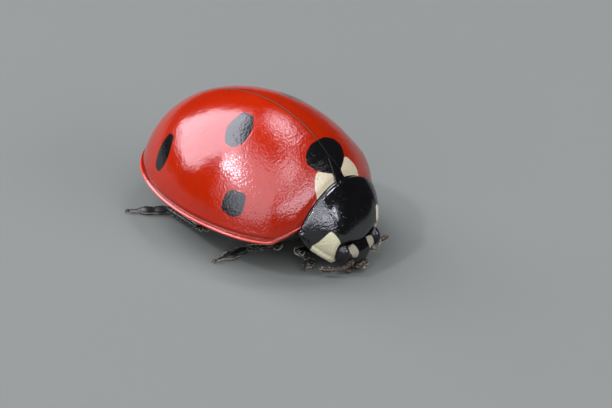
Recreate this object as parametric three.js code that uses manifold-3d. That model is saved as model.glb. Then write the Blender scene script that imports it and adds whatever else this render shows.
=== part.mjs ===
// A seven-spot ladybird at rest, life size, in millimetres.
// -Y is its front, +X its left side and +Z up. Lengths along the body run from y = 0, the front edge of
// the wing cases, and heights from z = 0, the plane of their rim. The finished group is then lifted so
// that its feet stand on z = 0.

import * as THREE from 'three';
import { LoftGeometry } from 'three/addons/geometries/LoftGeometry.js';
import { mergeVertices } from 'three/addons/utils/BufferGeometryUtils.js';
import Module from 'manifold-3d';

const manifoldLibrary = await Module();
manifoldLibrary.setup();

// Driving dimensions.
const CASE_LENGTH = 5.87;
const CASE_HALF_WIDTH = 2.77;
const CASE_HEIGHT = 2.66;
const RIM_HEIGHT = 1.1;
const WALL = 0.5;
const GAP = 0.04;

// The outline of the wing cases, from above and from the side.
const WIDEST_Y = 2.21;
const FRONT_REACH = 2.52;
const FRONT_POWER = 2.71;
const REAR_POWER = 1.91;
const CROWN_Y = 2.59;
const CROWN_FRONT_REACH = 3.04;
const CROWN_FRONT_POWER = 1.9;
const CROWN_REAR_POWER = 1.93;
const ARCH_POWER = 1.79;
const RIM_FLARE = 0.04;
const RIM_FLARE_START = 0.88;
const SHOULDER_LIFT = 0.35;
const SHOULDER_REACH = 0.5;

// The underside.
const BELLY_DEPTH = 0.35;
const BELLY_START_Y = 1.5;
const BELLY_POWER = 2.4;
const WAIST_Y = 2.6;

// The small triangular plate between the wing cases.
const SCUTELLUM_LENGTH = 0.5;
const SCUTELLUM_HALF_WIDTH = 0.26;
const SCUTELLUM_THICKNESS = 0.2;
const SCUTELLUM_FILL = 0.84;

// The neck shield: its middle line and its side edge, each from the hind edge to the front edge.
const SHIELD_MIDDLE = [[0, -0.034, 1.354], [0, -0.729, 0.786], [0, -0.962, -0.099]];
const SHIELD_EDGE = [[1.705, -0.082, 0.314], [1.595, -0.127, -0.211], [0.854, -0.614, -0.708]];
const SHIELD_LENGTH = 1.75;
const SHIELD_ARCH_POWER_REAR = 1.61;
const SHIELD_ARCH_POWER_FRONT = 3.77;
const EYE_NOTCH = 0.117;
const SHIELD_FRONT_WALL = 0.25;
const CHEST_DEPTH_REAR = 0.7;
const CHEST_DEPTH_FRONT = 0.14;

// The head, which hangs down in front of the shield.
const HEAD_TOP = [0, -0.86, -0.22];
const HEAD_BOTTOM = [0, -0.98, -0.84];
const HEAD_HALF_WIDTHS = [0.5, 0.66, 0.7, 0.63, 0.49, 0.36, 0.26];
const HEAD_BULGES = [0.02, 0.1, 0.14, 0.15, 0.13, 0.09, 0.02];
const HEAD_DEPTHS = [0.1, 0.3, 0.42, 0.46, 0.42, 0.34, 0.2];
const EYE_CENTRE = [0.7, -0.8, -0.38];
const EYE_RADII = [0.17, 0.25, 0.27];
const LIP_CENTRE = [0, -0.93, -0.93];
const LIP_RADII = [0.24, 0.1, 0.08];

// Limbs. Each list holds the points for the left side, from the body outwards.
const LEGS = {
  front: {
    hip: [0.4, -0.02, -0.82],
    knee: [1.36, 0.19, -0.45],
    ankle: [0.74, 0.1, -0.9],
    toe: [1.1, 0.03, -0.94],
  },
  middle: {
    hip: [0.75, 1.25, -0.74],
    knee: [1.42, 0.76, -0.55],
    ankle: [1.5, 1.64, -0.88],
    toe: [2.58, 1.92, -0.94],
  },
  hind: {
    hip: [0.75, 2.45, -0.72],
    knee: [2.02, 2.88, -0.62],
    ankle: [1.3, 4.42, -0.88],
    toe: [2.08, 5.2, -0.94],
  },
};
const FEMUR_RADIUS = 0.27;
const SHIN_RADIUS = 0.24;
const FOOT_RADIUS = 0.23;
const CLAW_LENGTH = 0.16;
const CLAW_RADIUS = 0.07;
const CLAW_SPREAD = 0.5;
const FEELER_RADIUS = 0.2;
const CLUB_RADII = [0.23, 0.22, 0.22];
const FEELERS = {
  left: [[0.46, -1.16, -0.62], [0.7, -1.08, -0.72], [0.98, -0.92, -0.62], [1.33, -0.92, -0.63]],
  right: [[-0.46, -1.16, -0.66], [-0.68, -1.06, -0.8], [-0.92, -0.8, -0.86], [-1.14, -0.5, -0.86]],
};
const PALP_POINTS = [[0.24, -0.7, -0.9], [0.34, -0.88, -0.98]];
const PALP_RADIUS = 0.1;

// Outlines of the leg joints: how far the widest place shifts, how much an end narrows, and how
// blunt the ends are, from 0 for square to 1 for a smooth spindle.
const THIGH_SKEW = 0.8;
const THIGH_BLUNTNESS = 0.45;
const SHIN_TAPER = 0.3;
const SHIN_BLUNTNESS = 0.3;
const FOOT_WAIST = 0.3;
const FOOT_JOINTS = 3;
const FOOT_BLUNTNESS = 0.35;

// Fineness of the meshes.
const CASE_STATIONS = 21;
const CASE_COLUMNS = 12;
const BODY_STATIONS = 8;
const BODY_COLUMNS = 16;
const SHIELD_STATIONS = 8;
const SHIELD_COLUMNS = 18;
const HEAD_COLUMNS = 18;
const SCUTELLUM_STATIONS = 4;
const LIMB_SIDES = 8;
const LIMB_STEPS = 7;
const PALP_STEPS = 5;
const CLAW_SIDES = 6;
const CLAW_STEPS = 4;
const BALL_COLUMNS = 12;
const BALL_ROWS = 9;
const FLOOR_BLOCK = 20;

function finish(colour, roughness) {
  return new THREE.MeshStandardMaterial({ color: colour, roughness, metalness: 0 });
}

const RED = finish(0xd63a06, 0.25);
const BLACK = finish(0x0b0b0c, 0.3);
const DARK_BROWN = finish(0x2a1c12, 0.45);
const EYE_GREY = finish(0x3a3436, 0.2);

function vector([x, y, z]) {
  return new THREE.Vector3(x, y, z);
}

function mirrored([x, y, z], side) {
  return new THREE.Vector3(x * side, y, z);
}

// Booleans. A solid is a manifold-3d body; a geometry is what a mesh shows.
function solidOf(geometry) {
  const bare = new THREE.BufferGeometry();
  bare.setAttribute('position', geometry.attributes.position);
  bare.setIndex(geometry.index);
  const merged = mergeVertices(bare, 1e-4);
  return new manifoldLibrary.Manifold(new manifoldLibrary.Mesh({
    numProp: 3,
    vertProperties: merged.attributes.position.array,
    triVerts: Uint32Array.from(merged.index.array),
  }));
}

function geometryOf(solid) {
  const cut = solid.getMesh();
  const geometry = new THREE.BufferGeometry();
  geometry.setAttribute('position', new THREE.BufferAttribute(cut.vertProperties, 3));
  geometry.setIndex(new THREE.BufferAttribute(cut.triVerts, 1));
  geometry.computeVertexNormals();
  return geometry;
}

// The largest body of a solid, without the crumbs that a cut leaves beside it.
function mainBody(solid) {
  const bodies = solid.decompose();
  return bodies.reduce((largest, body) => (body.volume() > largest.volume() ? body : largest));
}

// A rounded outline: 1 at no distance, 0 at the full reach.
function fullness(distance, reach, power) {
  const part = Math.min(distance / reach, 1);
  return (1 - part ** power) ** (1 / power);
}

function caseHalfWidth(y) {
  if (y > WIDEST_Y) {
    return CASE_HALF_WIDTH * fullness(y - WIDEST_Y, CASE_LENGTH - WIDEST_Y, REAR_POWER);
  }
  return CASE_HALF_WIDTH * fullness(WIDEST_Y - y, FRONT_REACH, FRONT_POWER);
}

function caseCrown(y) {
  if (y > CROWN_Y) {
    return CASE_HEIGHT * fullness(y - CROWN_Y, CASE_LENGTH - CROWN_Y, CROWN_REAR_POWER);
  }
  return CASE_HEIGHT * fullness(CROWN_Y - y, CROWN_FRONT_REACH, CROWN_FRONT_POWER);
}

// The angle, from 0 at the middle line to 90 degrees at the rim, where the rim lies at this y. It lifts
// at the shoulder, which rounds the front corner of each wing case.
function rimAngle(y) {
  const lift = SHOULDER_LIFT * Math.max(0, 1 - y / SHOULDER_REACH) ** 2;
  return Math.acos((lift / Math.max(caseCrown(y), lift + GAP)) ** (ARCH_POWER / 2));
}

// A point of the dome that the two wing cases make together, sunk by depth below its surface.
function domePoint(y, angle, depth, flare = 0) {
  const x = caseHalfWidth(y) * Math.sin(angle) ** (2 / ARCH_POWER);
  const z = caseCrown(y) * Math.cos(angle) ** (2 / ARCH_POWER);
  const rear = Math.max(0, y - WIDEST_Y) / (CASE_LENGTH - WIDEST_Y) ** 2;
  const outward = new THREE.Vector3(x / CASE_HALF_WIDTH ** 2, rear, z / CASE_HEIGHT ** 2).normalize();
  return new THREE.Vector3(x + flare, y, z).addScaledVector(outward, -depth);
}

// Stations along the wing cases, closer together at the shoulders and the tail.
function caseStations() {
  const stations = [];
  for (let i = 0; i <= CASE_STATIONS; i += 1) {
    stations.push((CASE_LENGTH * (1 - Math.cos((Math.PI * i) / CASE_STATIONS))) / 2);
  }
  return stations;
}

// One wing case: a wall between the dome and the same dome sunk by the wall's thickness.
function wingCase(side) {
  const sections = caseStations().map((y) => {
    const notch = SCUTELLUM_HALF_WIDTH * Math.max(0, 1 - y / SCUTELLUM_LENGTH);
    const first = Math.asin((notch / Math.max(caseHalfWidth(y), notch + GAP)) ** (ARCH_POWER / 2));
    const last = rimAngle(y);
    const outer = [];
    const inner = [];
    for (let j = 0; j <= CASE_COLUMNS; j += 1) {
      const part = j / CASE_COLUMNS;
      const angle = first + (last - first) * part;
      const edge = Math.max(0, part - RIM_FLARE_START) / (1 - RIM_FLARE_START);
      const flare = RIM_FLARE * edge * Math.min(1, caseHalfWidth(y) / WALL);
      outer.push(domePoint(y, angle, 0, flare));
      inner.unshift(domePoint(y, angle, WALL));
    }
    const ring = [...outer, ...inner];
    for (const point of ring) {
      point.x = side * (Math.max(point.x, 0) + GAP / 2);
    }
    return side > 0 ? ring : ring.reverse();
  });
  return new LoftGeometry(sections, { capStart: true });
}

function bellyDepth(y) {
  return BELLY_DEPTH * fullness(Math.max(0, y - BELLY_START_Y), CASE_LENGTH - BELLY_START_Y, BELLY_POWER);
}

// The rounded underside of a section, from its right edge to its left one.
function underside(leftEdge, drop, columns) {
  const row = [];
  for (let j = 1; j < columns; j += 1) {
    const angle = Math.PI * (j / columns - 0.5);
    const x = leftEdge.x * Math.sin(angle);
    row.push(new THREE.Vector3(x, leftEdge.y, leftEdge.z - drop * Math.cos(angle)));
  }
  return row;
}

// A length of the trunk under the wing cases. It can be grown by a clearance on every side.
function trunkSections(stations, clearance) {
  const depth = WALL + GAP - clearance;
  return stations.map((y) => {
    const last = rimAngle(y);
    const ring = [];
    for (let j = -BODY_COLUMNS / 2; j <= BODY_COLUMNS / 2; j += 1) {
      const angle = (last * Math.abs(j)) / (BODY_COLUMNS / 2);
      const point = domePoint(y, angle, depth);
      ring.push(new THREE.Vector3(Math.sign(j) * point.x, point.y, point.z));
    }
    const edge = ring[ring.length - 1];
    const drop = edge.z + bellyDepth(y) + clearance;
    return [...ring, ...underside(edge, drop, BODY_COLUMNS).reverse()];
  });
}

function thorax(clearance = 0) {
  const stations = [];
  for (let i = 0; i <= BODY_STATIONS; i += 1) {
    stations.push(GAP - clearance / 2 + ((WAIST_Y - GAP) * i) / BODY_STATIONS);
  }
  return new LoftGeometry(trunkSections(stations, clearance), { capStart: true, capEnd: true });
}

function abdomen(clearance = 0) {
  const stations = [];
  const start = WAIST_Y + GAP - clearance / 2;
  for (let i = 0; i < BODY_STATIONS; i += 1) {
    stations.push(start + (CASE_LENGTH - start) * Math.sin((Math.PI * i) / (2 * BODY_STATIONS)));
  }
  return new LoftGeometry(trunkSections(stations, clearance), { capStart: true, capEnd: true });
}

// The scutellum fills the notch at the front of the middle seam.
function scutellum() {
  const sections = [];
  for (let i = 0; i <= SCUTELLUM_STATIONS; i += 1) {
    const y = GAP / 2 + (SCUTELLUM_LENGTH * SCUTELLUM_FILL * i) / SCUTELLUM_STATIONS;
    const half = SCUTELLUM_HALF_WIDTH * (1 - y / SCUTELLUM_LENGTH) - GAP / 2;
    const ring = [];
    for (const [across, depth] of [[-1, 0], [0, 0], [1, 0], [1, 1], [-1, 1]]) {
      const angle = Math.asin((Math.abs(half * across) / caseHalfWidth(y)) ** (ARCH_POWER / 2));
      const point = domePoint(y, angle, SCUTELLUM_THICKNESS * depth);
      ring.push(new THREE.Vector3(across * half, point.y, point.z));
    }
    sections.push(ring);
  }
  return new LoftGeometry(sections, { capStart: true, capEnd: true });
}

// A point of the neck shield, from its hind edge (along = 0) to its front edge (along = 1), and from
// the right side edge (across = -1) over the middle line to the left one.
const shieldMiddle = new THREE.QuadraticBezierCurve3(...SHIELD_MIDDLE.map(vector));
const shieldEdge = new THREE.QuadraticBezierCurve3(...SHIELD_EDGE.map(vector));

function shieldPoint(along, across, depth) {
  const inset = along * (1 - EYE_NOTCH * Math.sin(Math.PI * Math.abs(across)));
  const middle = shieldMiddle.getPoint(inset);
  const edge = shieldEdge.getPoint(inset);
  const angle = (Math.abs(across) * Math.PI) / 2;
  const power = THREE.MathUtils.lerp(SHIELD_ARCH_POWER_REAR, SHIELD_ARCH_POWER_FRONT, along);
  const reach = Math.sin(angle) ** (2 / power);
  const fall = 1 - Math.max(0, Math.cos(angle)) ** (2 / power);
  const point = new THREE.Vector3(
    Math.sign(across) * edge.x * reach,
    THREE.MathUtils.lerp(middle.y, edge.y, fall),
    THREE.MathUtils.lerp(middle.z, edge.z, fall),
  );
  const core = new THREE.Vector3(0, edge.y, edge.z);
  return point.addScaledVector(core.sub(point).normalize(), depth);
}

function shieldWall(along) {
  return THREE.MathUtils.lerp(WALL, SHIELD_FRONT_WALL, along);
}

function shieldRow(along, depth) {
  const row = [];
  for (let j = 0; j <= SHIELD_COLUMNS; j += 1) {
    row.push(shieldPoint(along, -1 + (2 * j) / SHIELD_COLUMNS, depth));
  }
  return row;
}

function shield(outset = 0) {
  const sections = [];
  for (let i = 0; i <= SHIELD_STATIONS; i += 1) {
    const along = (i / SHIELD_STATIONS) * (1 + outset / SHIELD_LENGTH);
    sections.push([...shieldRow(along, -outset).reverse(), ...shieldRow(along, shieldWall(along) + outset)]);
  }
  return new LoftGeometry(sections, { capStart: true, capEnd: true });
}

// The chest under the neck shield, which carries the front legs.
function chest(outset = 0) {
  const sections = [];
  for (let i = 0; i <= SHIELD_STATIONS; i += 1) {
    const along = (i / SHIELD_STATIONS) * (1 + outset / SHIELD_LENGTH);
    const top = shieldRow(along, shieldWall(along) + GAP - outset);
    const edge = top[top.length - 1];
    const drop = outset + THREE.MathUtils.lerp(CHEST_DEPTH_REAR, CHEST_DEPTH_FRONT, along);
    sections.push([...top.reverse(), ...underside(edge, drop, SHIELD_COLUMNS)]);
  }
  return new LoftGeometry(sections, { capStart: true, capEnd: true });
}

// An ellipsoid with its axes along X, Y and Z. It can be grown by a clearance.
function ellipsoid(centre, radii, clearance = 0) {
  const ball = new THREE.SphereGeometry(1, BALL_COLUMNS, BALL_ROWS);
  ball.rotateX(Math.PI / 2);
  ball.scale(...radii.map((radius) => radius + clearance));
  return ball.translate(...centre);
}

// The head is a stack of rings from the crown down to the mouth, each bulging more behind than in front.
function headCapsule(clearance = 0) {
  const top = vector(HEAD_TOP);
  const bottom = vector(HEAD_BOTTOM);
  const down = bottom.clone().sub(top).normalize();
  const forward = new THREE.Vector3(0, down.z, -down.y);
  const last = HEAD_HALF_WIDTHS.length - 1;
  const sections = HEAD_HALF_WIDTHS.map((half, i) => {
    const centre = top.clone().lerp(bottom, i / last).addScaledVector(down, clearance * ((2 * i) / last - 1));
    const ring = [];
    for (let j = 0; j < HEAD_COLUMNS; j += 1) {
      const turn = (-2 * Math.PI * j) / HEAD_COLUMNS;
      const reach = clearance + (Math.cos(turn) > 0 ? HEAD_BULGES[i] : HEAD_DEPTHS[i]);
      const point = centre.clone().addScaledVector(forward, Math.cos(turn) * reach);
      point.x = Math.sin(turn) * (half + clearance);
      ring.push(point);
    }
    return ring;
  });
  return new LoftGeometry(sections, { capStart: true, capEnd: true });
}

const EYES = {
  left: EYE_CENTRE,
  right: [-EYE_CENTRE[0], EYE_CENTRE[1], EYE_CENTRE[2]],
};
const neckBlock = solidOf(shield(GAP)).add(solidOf(chest(GAP)));
const grownEyePair = Object.values(EYES).map((centre) => solidOf(ellipsoid(centre, EYE_RADII, GAP)));
const grownEyes = grownEyePair[0].add(grownEyePair[1]);
const grownLip = solidOf(ellipsoid(LIP_CENTRE, LIP_RADII, GAP));
const grownHead = solidOf(headCapsule(GAP)).add(grownLip);

function head() {
  return geometryOf(mainBody(solidOf(headCapsule()).subtract(neckBlock).subtract(grownEyes)));
}

function eye(sideName) {
  return geometryOf(solidOf(ellipsoid(EYES[sideName], EYE_RADII)).subtract(neckBlock));
}

// A limb piece: a spindle turned about the line between two points. The profile gives the share of the
// full radius at each step, and a clearance grows the whole piece.
function spindle(from, to, radius, profile, clearance = 0, steps = LIMB_STEPS, sides = LIMB_SIDES) {
  const span = to.clone().sub(from);
  const length = span.length() + 2 * clearance;
  const points = [new THREE.Vector2(0, 0)];
  for (let i = 1; i < steps; i += 1) {
    const part = i / steps;
    points.push(new THREE.Vector2(radius * profile(part) + clearance, part * length));
  }
  points.push(new THREE.Vector2(0, length));
  const turned = new THREE.LatheGeometry(points, sides);
  const upright = new THREE.Vector3(0, 1, 0);
  const turn = new THREE.Quaternion().setFromUnitVectors(upright, span.clone().normalize());
  const start = from.clone().addScaledVector(span.normalize(), -clearance);
  return turned.applyQuaternion(turn).translate(start.x, start.y, start.z);
}

function femurProfile(part) {
  return Math.sin(Math.PI * part ** THIGH_SKEW) ** THIGH_BLUNTNESS;
}

function shinProfile(part) {
  return (1 - SHIN_TAPER * (1 - part)) * Math.sin(Math.PI * part) ** SHIN_BLUNTNESS;
}

function footProfile(part) {
  const waist = FOOT_WAIST * (1 - Math.cos(FOOT_JOINTS * Math.PI * part)) / 2;
  return (1 - waist) * Math.sin(Math.PI * part) ** FOOT_BLUNTNESS;
}

function claw(toe, heading, sideways) {
  const direction = heading.clone().addScaledVector(sideways, CLAW_SPREAD).normalize();
  const root = toe.clone().addScaledVector(direction, -CLAW_LENGTH);
  const tip = toe.clone().addScaledVector(direction, CLAW_LENGTH);
  return spindle(root, tip, CLAW_RADIUS, shinProfile, 0, CLAW_STEPS, CLAW_SIDES);
}

// A block whose underside is the floor. What it cuts stands flat.
function floorBlock() {
  const block = new THREE.BoxGeometry(FLOOR_BLOCK, FLOOR_BLOCK, FLOOR_BLOCK);
  return solidOf(block.translate(0, 0, FLOOR_BLOCK / 2 - RIM_HEIGHT));
}

const aboveFloor = floorBlock();

function leg(place, side, trunk) {
  const [hip, knee, ankle, toe] = ['hip', 'knee', 'ankle', 'toe'].map((key) => mirrored(place[key], side));
  const femur = solidOf(spindle(hip, knee, FEMUR_RADIUS, femurProfile)).subtract(trunk);
  const grownFemur = solidOf(spindle(hip, knee, FEMUR_RADIUS, femurProfile, GAP));
  const shin = solidOf(spindle(knee, ankle, SHIN_RADIUS, shinProfile)).subtract(grownFemur).subtract(trunk);
  const grownShin = solidOf(spindle(knee, ankle, SHIN_RADIUS, shinProfile, GAP));
  const heading = toe.clone().sub(ankle).setZ(0).normalize();
  const sideways = new THREE.Vector3(-heading.y, heading.x, 0);
  let foot = solidOf(spindle(ankle, toe, FOOT_RADIUS, footProfile));
  foot = foot.add(solidOf(claw(toe, heading, sideways)));
  foot = foot.add(solidOf(claw(toe, heading, sideways.negate())));
  foot = foot.subtract(grownShin).intersect(aboveFloor);
  return { femur, shin: shin.intersect(aboveFloor), foot };
}

// A feeler: a bent tube with a thicker club at its tip, clear of the head, the eyes and the shield.
function feeler(points) {
  const path = new THREE.CatmullRomCurve3(points.map(vector));
  const corners = [];
  for (let j = 0; j < LIMB_SIDES; j += 1) {
    const turn = (2 * Math.PI * j) / LIMB_SIDES;
    corners.push(new THREE.Vector2(FEELER_RADIUS * Math.cos(turn), FEELER_RADIUS * Math.sin(turn)));
  }
  const ring = new THREE.Shape(corners);
  const tube = new THREE.ExtrudeGeometry(ring, { steps: LIMB_STEPS, extrudePath: path, bevelEnabled: false });
  const club = ellipsoid(points[points.length - 1], CLUB_RADII);
  const whole = solidOf(tube).add(solidOf(club)).intersect(aboveFloor);
  return mainBody(whole.subtract(neckBlock).subtract(grownEyes).subtract(grownHead));
}

function palp(side) {
  const [root, tip] = PALP_POINTS.map((point) => mirrored(point, side));
  return spindle(root, tip, PALP_RADIUS, shinProfile, 0, PALP_STEPS);
}

const ladybird = new THREE.Group();

function add(name, geometry, material) {
  const mesh = new THREE.Mesh(geometry, material);
  mesh.name = name;
  ladybird.add(mesh);
}

const SIDES = { left: 1, right: -1 };
const grownTrunk = solidOf(thorax(GAP)).add(solidOf(abdomen(GAP))).add(solidOf(chest()));

add('head', head(), BLACK);
add('labrum', ellipsoid(LIP_CENTRE, LIP_RADII), DARK_BROWN);
add('pronotum', shield(), BLACK);
add('chest', chest(), BLACK);
add('scutellum', scutellum(), BLACK);
add('thorax', thorax(), BLACK);
add('abdomen', abdomen(), BLACK);

for (const [sideName, side] of Object.entries(SIDES)) {
  add(`wing_case_${sideName}`, wingCase(side), RED);
  add(`eye_${sideName}`, eye(sideName), EYE_GREY);
  add(`feeler_${sideName}`, geometryOf(feeler(FEELERS[sideName])), DARK_BROWN);
  add(`palp_${sideName}`, palp(side), DARK_BROWN);
  for (const [legName, place] of Object.entries(LEGS)) {
    const pieces = leg(place, side, grownTrunk);
    add(`${legName}_${sideName}_femur`, geometryOf(pieces.femur), BLACK);
    add(`${legName}_${sideName}_shin`, geometryOf(pieces.shin), BLACK);
    add(`${legName}_${sideName}_foot`, geometryOf(pieces.foot), DARK_BROWN);
  }
}

// The origin is on the floor, under the middle of the animal.
const bounds = new THREE.Box3().setFromObject(ladybird);
const middle = bounds.getCenter(new THREE.Vector3());
ladybird.position.set(-middle.x, -middle.y, -bounds.min.z);

export default ladybird;
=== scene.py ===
# %% [markdown]
# # A seven-spot ladybird, life size
# A ladybird is a dome of two hard wing cases over a flat body, with a neck shield, a small head and
# six short legs that fold under the rim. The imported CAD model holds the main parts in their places, as
# plain solids. Most steps below swap some of those solids for finished meshes in the same place, and a
# few add what is too small for a sound solid. That keeps the animal's proportions, while its surfaces
# get their beads, grooves, pits, hairs and colours.

import math
import random

import bmesh
import bpy
from mathutils import Matrix, Vector


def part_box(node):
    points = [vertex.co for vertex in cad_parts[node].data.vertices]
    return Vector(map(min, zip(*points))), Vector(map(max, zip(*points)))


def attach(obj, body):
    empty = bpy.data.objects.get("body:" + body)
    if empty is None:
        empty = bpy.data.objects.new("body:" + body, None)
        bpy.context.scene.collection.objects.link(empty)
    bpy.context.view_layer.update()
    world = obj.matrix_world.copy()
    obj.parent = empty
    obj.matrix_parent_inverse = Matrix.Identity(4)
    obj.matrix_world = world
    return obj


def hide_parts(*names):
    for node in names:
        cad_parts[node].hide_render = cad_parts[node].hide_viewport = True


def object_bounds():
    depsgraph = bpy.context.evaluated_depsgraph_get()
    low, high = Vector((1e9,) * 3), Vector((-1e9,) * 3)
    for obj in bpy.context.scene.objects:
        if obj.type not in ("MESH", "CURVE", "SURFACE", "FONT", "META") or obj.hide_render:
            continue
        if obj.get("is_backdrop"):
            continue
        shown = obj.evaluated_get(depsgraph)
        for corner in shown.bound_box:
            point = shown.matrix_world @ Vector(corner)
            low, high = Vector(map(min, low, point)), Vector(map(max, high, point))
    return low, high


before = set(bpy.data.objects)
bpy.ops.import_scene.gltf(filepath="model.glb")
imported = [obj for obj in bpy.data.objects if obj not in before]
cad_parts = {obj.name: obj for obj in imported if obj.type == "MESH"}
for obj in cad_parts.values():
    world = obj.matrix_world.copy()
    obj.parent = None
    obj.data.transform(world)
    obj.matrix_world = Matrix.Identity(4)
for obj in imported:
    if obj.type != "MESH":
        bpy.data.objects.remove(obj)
cad_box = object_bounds()
print("CAD nodes:", len(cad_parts))

# %% [markdown]
# ## Working in millimetres
# Blender counts in metres, and a ladybird is only a few thousandths of one, which makes for unreadable
# numbers. A better way is to model in millimetres from a landmark on the animal, and to shrink and move
# each mesh once, as it is finished. The landmark here is the middle of the wing cases' front edge, in
# the plane of their rim: -Y is forward, +X is the animal's left and +Z is up.

# %% The landmark
MM = 0.001
FRONT_OF_CASES, RIM_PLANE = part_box("wing_case_left")[0].yz
LANDMARK = Vector((0, FRONT_OF_CASES, RIM_PLANE)) / MM
FLOOR_Z = -LANDMARK.z
SIDES = {"left": 1, "right": -1}
print("landmark above the floor:", round(LANDMARK.z, 3), "mm")


def in_frame(point):
    """A point given in millimetres from the landmark, as metres in the model's frame."""
    return (Vector(point) + LANDMARK) * MM


def smooth_step(low, high, value):
    """0 below low, 1 above high, and an even S-curve between."""
    part = min(max((value - low) / (high - low), 0), 1)
    return part * part * (3 - 2 * part)


def ridge(distance, centre, width):
    """A soft bump of height 1, as wide as width, at a distance of centre from an edge."""
    return math.exp(-((distance - centre) / width) ** 2)


# %% [markdown]
# ## The camera
# A macro lens looks at a small animal from close by, so it sees a little perspective. Copying that
# needs three things: the direction, the distance and the scale. Building the camera's three axes
# from its azimuth, elevation and roll gives the view without any trial and error, and aiming it at
# the middle of the picture keeps the lens shift at zero.

# %% The camera
VIEW_AZIMUTH = math.radians(-58.24)
VIEW_ELEVATION = math.radians(28.41)
VIEW_ROLL = math.radians(7.42)
VIEW_DISTANCE = 150
PIXELS_PER_MM = 37.81
PICTURE = (612, 408)
LANDMARK_PIXEL = (333.68, 220.77)
CLIP_RANGE = (0.01, 20)


def direction(azimuth, elevation):
    """The unit vector towards a compass direction: azimuth 0 is in front of the animal."""
    flat = math.cos(elevation)
    return Vector((math.sin(azimuth) * flat, -math.cos(azimuth) * flat, math.sin(elevation)))


def make_camera():
    backward = direction(VIEW_AZIMUTH, VIEW_ELEVATION)
    level = Vector((math.cos(VIEW_AZIMUTH), math.sin(VIEW_AZIMUTH), 0))
    upright = backward.cross(level)
    right = level * math.cos(VIEW_ROLL) + upright * math.sin(VIEW_ROLL)
    up = upright * math.cos(VIEW_ROLL) - level * math.sin(VIEW_ROLL)
    eye = backward * VIEW_DISTANCE
    across = (PICTURE[0] / 2 - LANDMARK_PIXEL[0]) / PIXELS_PER_MM
    below = (PICTURE[1] / 2 - LANDMARK_PIXEL[1]) / PIXELS_PER_MM
    backward = (eye - right * across + up * below).normalized()
    right = up.cross(backward).normalized()
    up = backward.cross(right)
    camera = bpy.data.cameras.new("camera")
    camera.lens = camera.sensor_width * PIXELS_PER_MM * VIEW_DISTANCE / PICTURE[0]
    camera.clip_start, camera.clip_end = CLIP_RANGE
    seat = bpy.data.objects.new("camera", camera)
    axes = Matrix((right, up, backward)).transposed().to_4x4()
    seat.matrix_world = Matrix.Translation(in_frame(eye)) @ axes
    bpy.context.scene.collection.objects.link(seat)
    bpy.context.scene.camera = seat
    print("lens", round(camera.lens, 1), "mm")


make_camera()

# %% [markdown]
# ## Soft light
# A glossy dome is a mirror for its surroundings, so the lamps are part of its look. Each lamp here is a
# flat softbox, placed by the compass direction that its reflection should come from and by how wide it
# should seem from the animal. A broad one behind gives the pale sheen on the back, and a smaller one
# high on the left the glow at the crown. A weak, very broad one at the side lays a haze over the flank.
# Two in front make the strips on the shoulder and the neck shield, and a tiny, bright one makes the
# sparkle. The camera can't see the lamps, so only their light and their reflections show. The plain
# view transform shows the colours as they are mixed.

# %% Softboxes, with directions and widths in degrees
LAMP_DISTANCE = 0.5
SKY = (0.87, 0.87, 1.0)
SOFTBOXES = {
    "sheen_lamp": {"azimuth": 192, "elevation": 41, "width": 44, "height": 52, "radiance": 9.5},
    "crown_lamp": {"azimuth": 92, "elevation": 68, "width": 24, "height": 14, "radiance": 13.0},
    "flank_lamp": {"azimuth": -80, "elevation": 43, "width": 62, "height": 66, "radiance": 3.9},
    "shoulder_lamp": {"azimuth": 1, "elevation": 30, "width": 50, "height": 18, "radiance": 8.5},
    "collar_lamp": {"azimuth": 0, "elevation": 60, "width": 16, "height": 20, "radiance": 10.0},
    "sparkle_lamp": {"azimuth": -118, "elevation": 46, "width": 4, "height": 4, "radiance": 400.0},
}


def softbox(name, azimuth, elevation, width, height, radiance):
    toward = direction(math.radians(azimuth), math.radians(elevation))
    lamp = bpy.data.lights.new(name, "AREA")
    lamp.shape = "RECTANGLE"
    lamp.size = 2 * LAMP_DISTANCE * math.tan(math.radians(width / 2))
    lamp.size_y = 2 * LAMP_DISTANCE * math.tan(math.radians(height / 2))
    lamp.energy = radiance * math.pi * lamp.size * lamp.size_y
    lamp.color = SKY
    box = bpy.data.objects.new(name, lamp)
    turn = toward.to_track_quat("Z", "Y").to_matrix().to_4x4()
    box.matrix_world = Matrix.Translation(toward * LAMP_DISTANCE) @ turn
    box.visible_camera = False
    bpy.context.scene.collection.objects.link(box)


for name, sizes in SOFTBOXES.items():
    softbox(name, **sizes)

bpy.context.scene.view_settings.view_transform = "Standard"
print("lamps:", len(SOFTBOXES))

# %% [markdown]
# ## Building materials from nodes
# A material is a small network of nodes. Wiring one by hand in a script takes three lines per node, so
# a few helpers keep it readable: one adds a node, sets its options and plugs in what feeds it, and the
# others wrap the nodes that come up most. Effects that several materials share are node groups with
# named sockets, so two more helpers make a group and place it.

# %% Node helpers
# A Mix node has a set of sockets for every kind of value, and these are the ones for colours.
MIX_AMOUNT = 0
MIX_FIRST = 6
MIX_SECOND = 7
MIX_RESULT = 2


def add(tree, kind, feeds=None, **settings):
    """A new node in a tree. Feeds maps an input to a value or to the socket that drives it."""
    node = tree.nodes.new(kind)
    for key, value in settings.items():
        setattr(node, key, value)
    for socket, value in (feeds or {}).items():
        if isinstance(value, bpy.types.NodeSocket):
            tree.links.new(value, node.inputs[socket])
        else:
            node.inputs[socket].default_value = value
    return node


def sums(tree, operation, *values):
    """The result of one Math node."""
    return add(tree, "ShaderNodeMath", dict(enumerate(values)), operation=operation).outputs[0]


def blend(tree, amount, first, second):
    """A colour between two others."""
    feeds = {MIX_AMOUNT: amount, MIX_FIRST: first, MIX_SECOND: second}
    return add(tree, "ShaderNodeMix", feeds, data_type="RGBA").outputs[MIX_RESULT]


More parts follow.
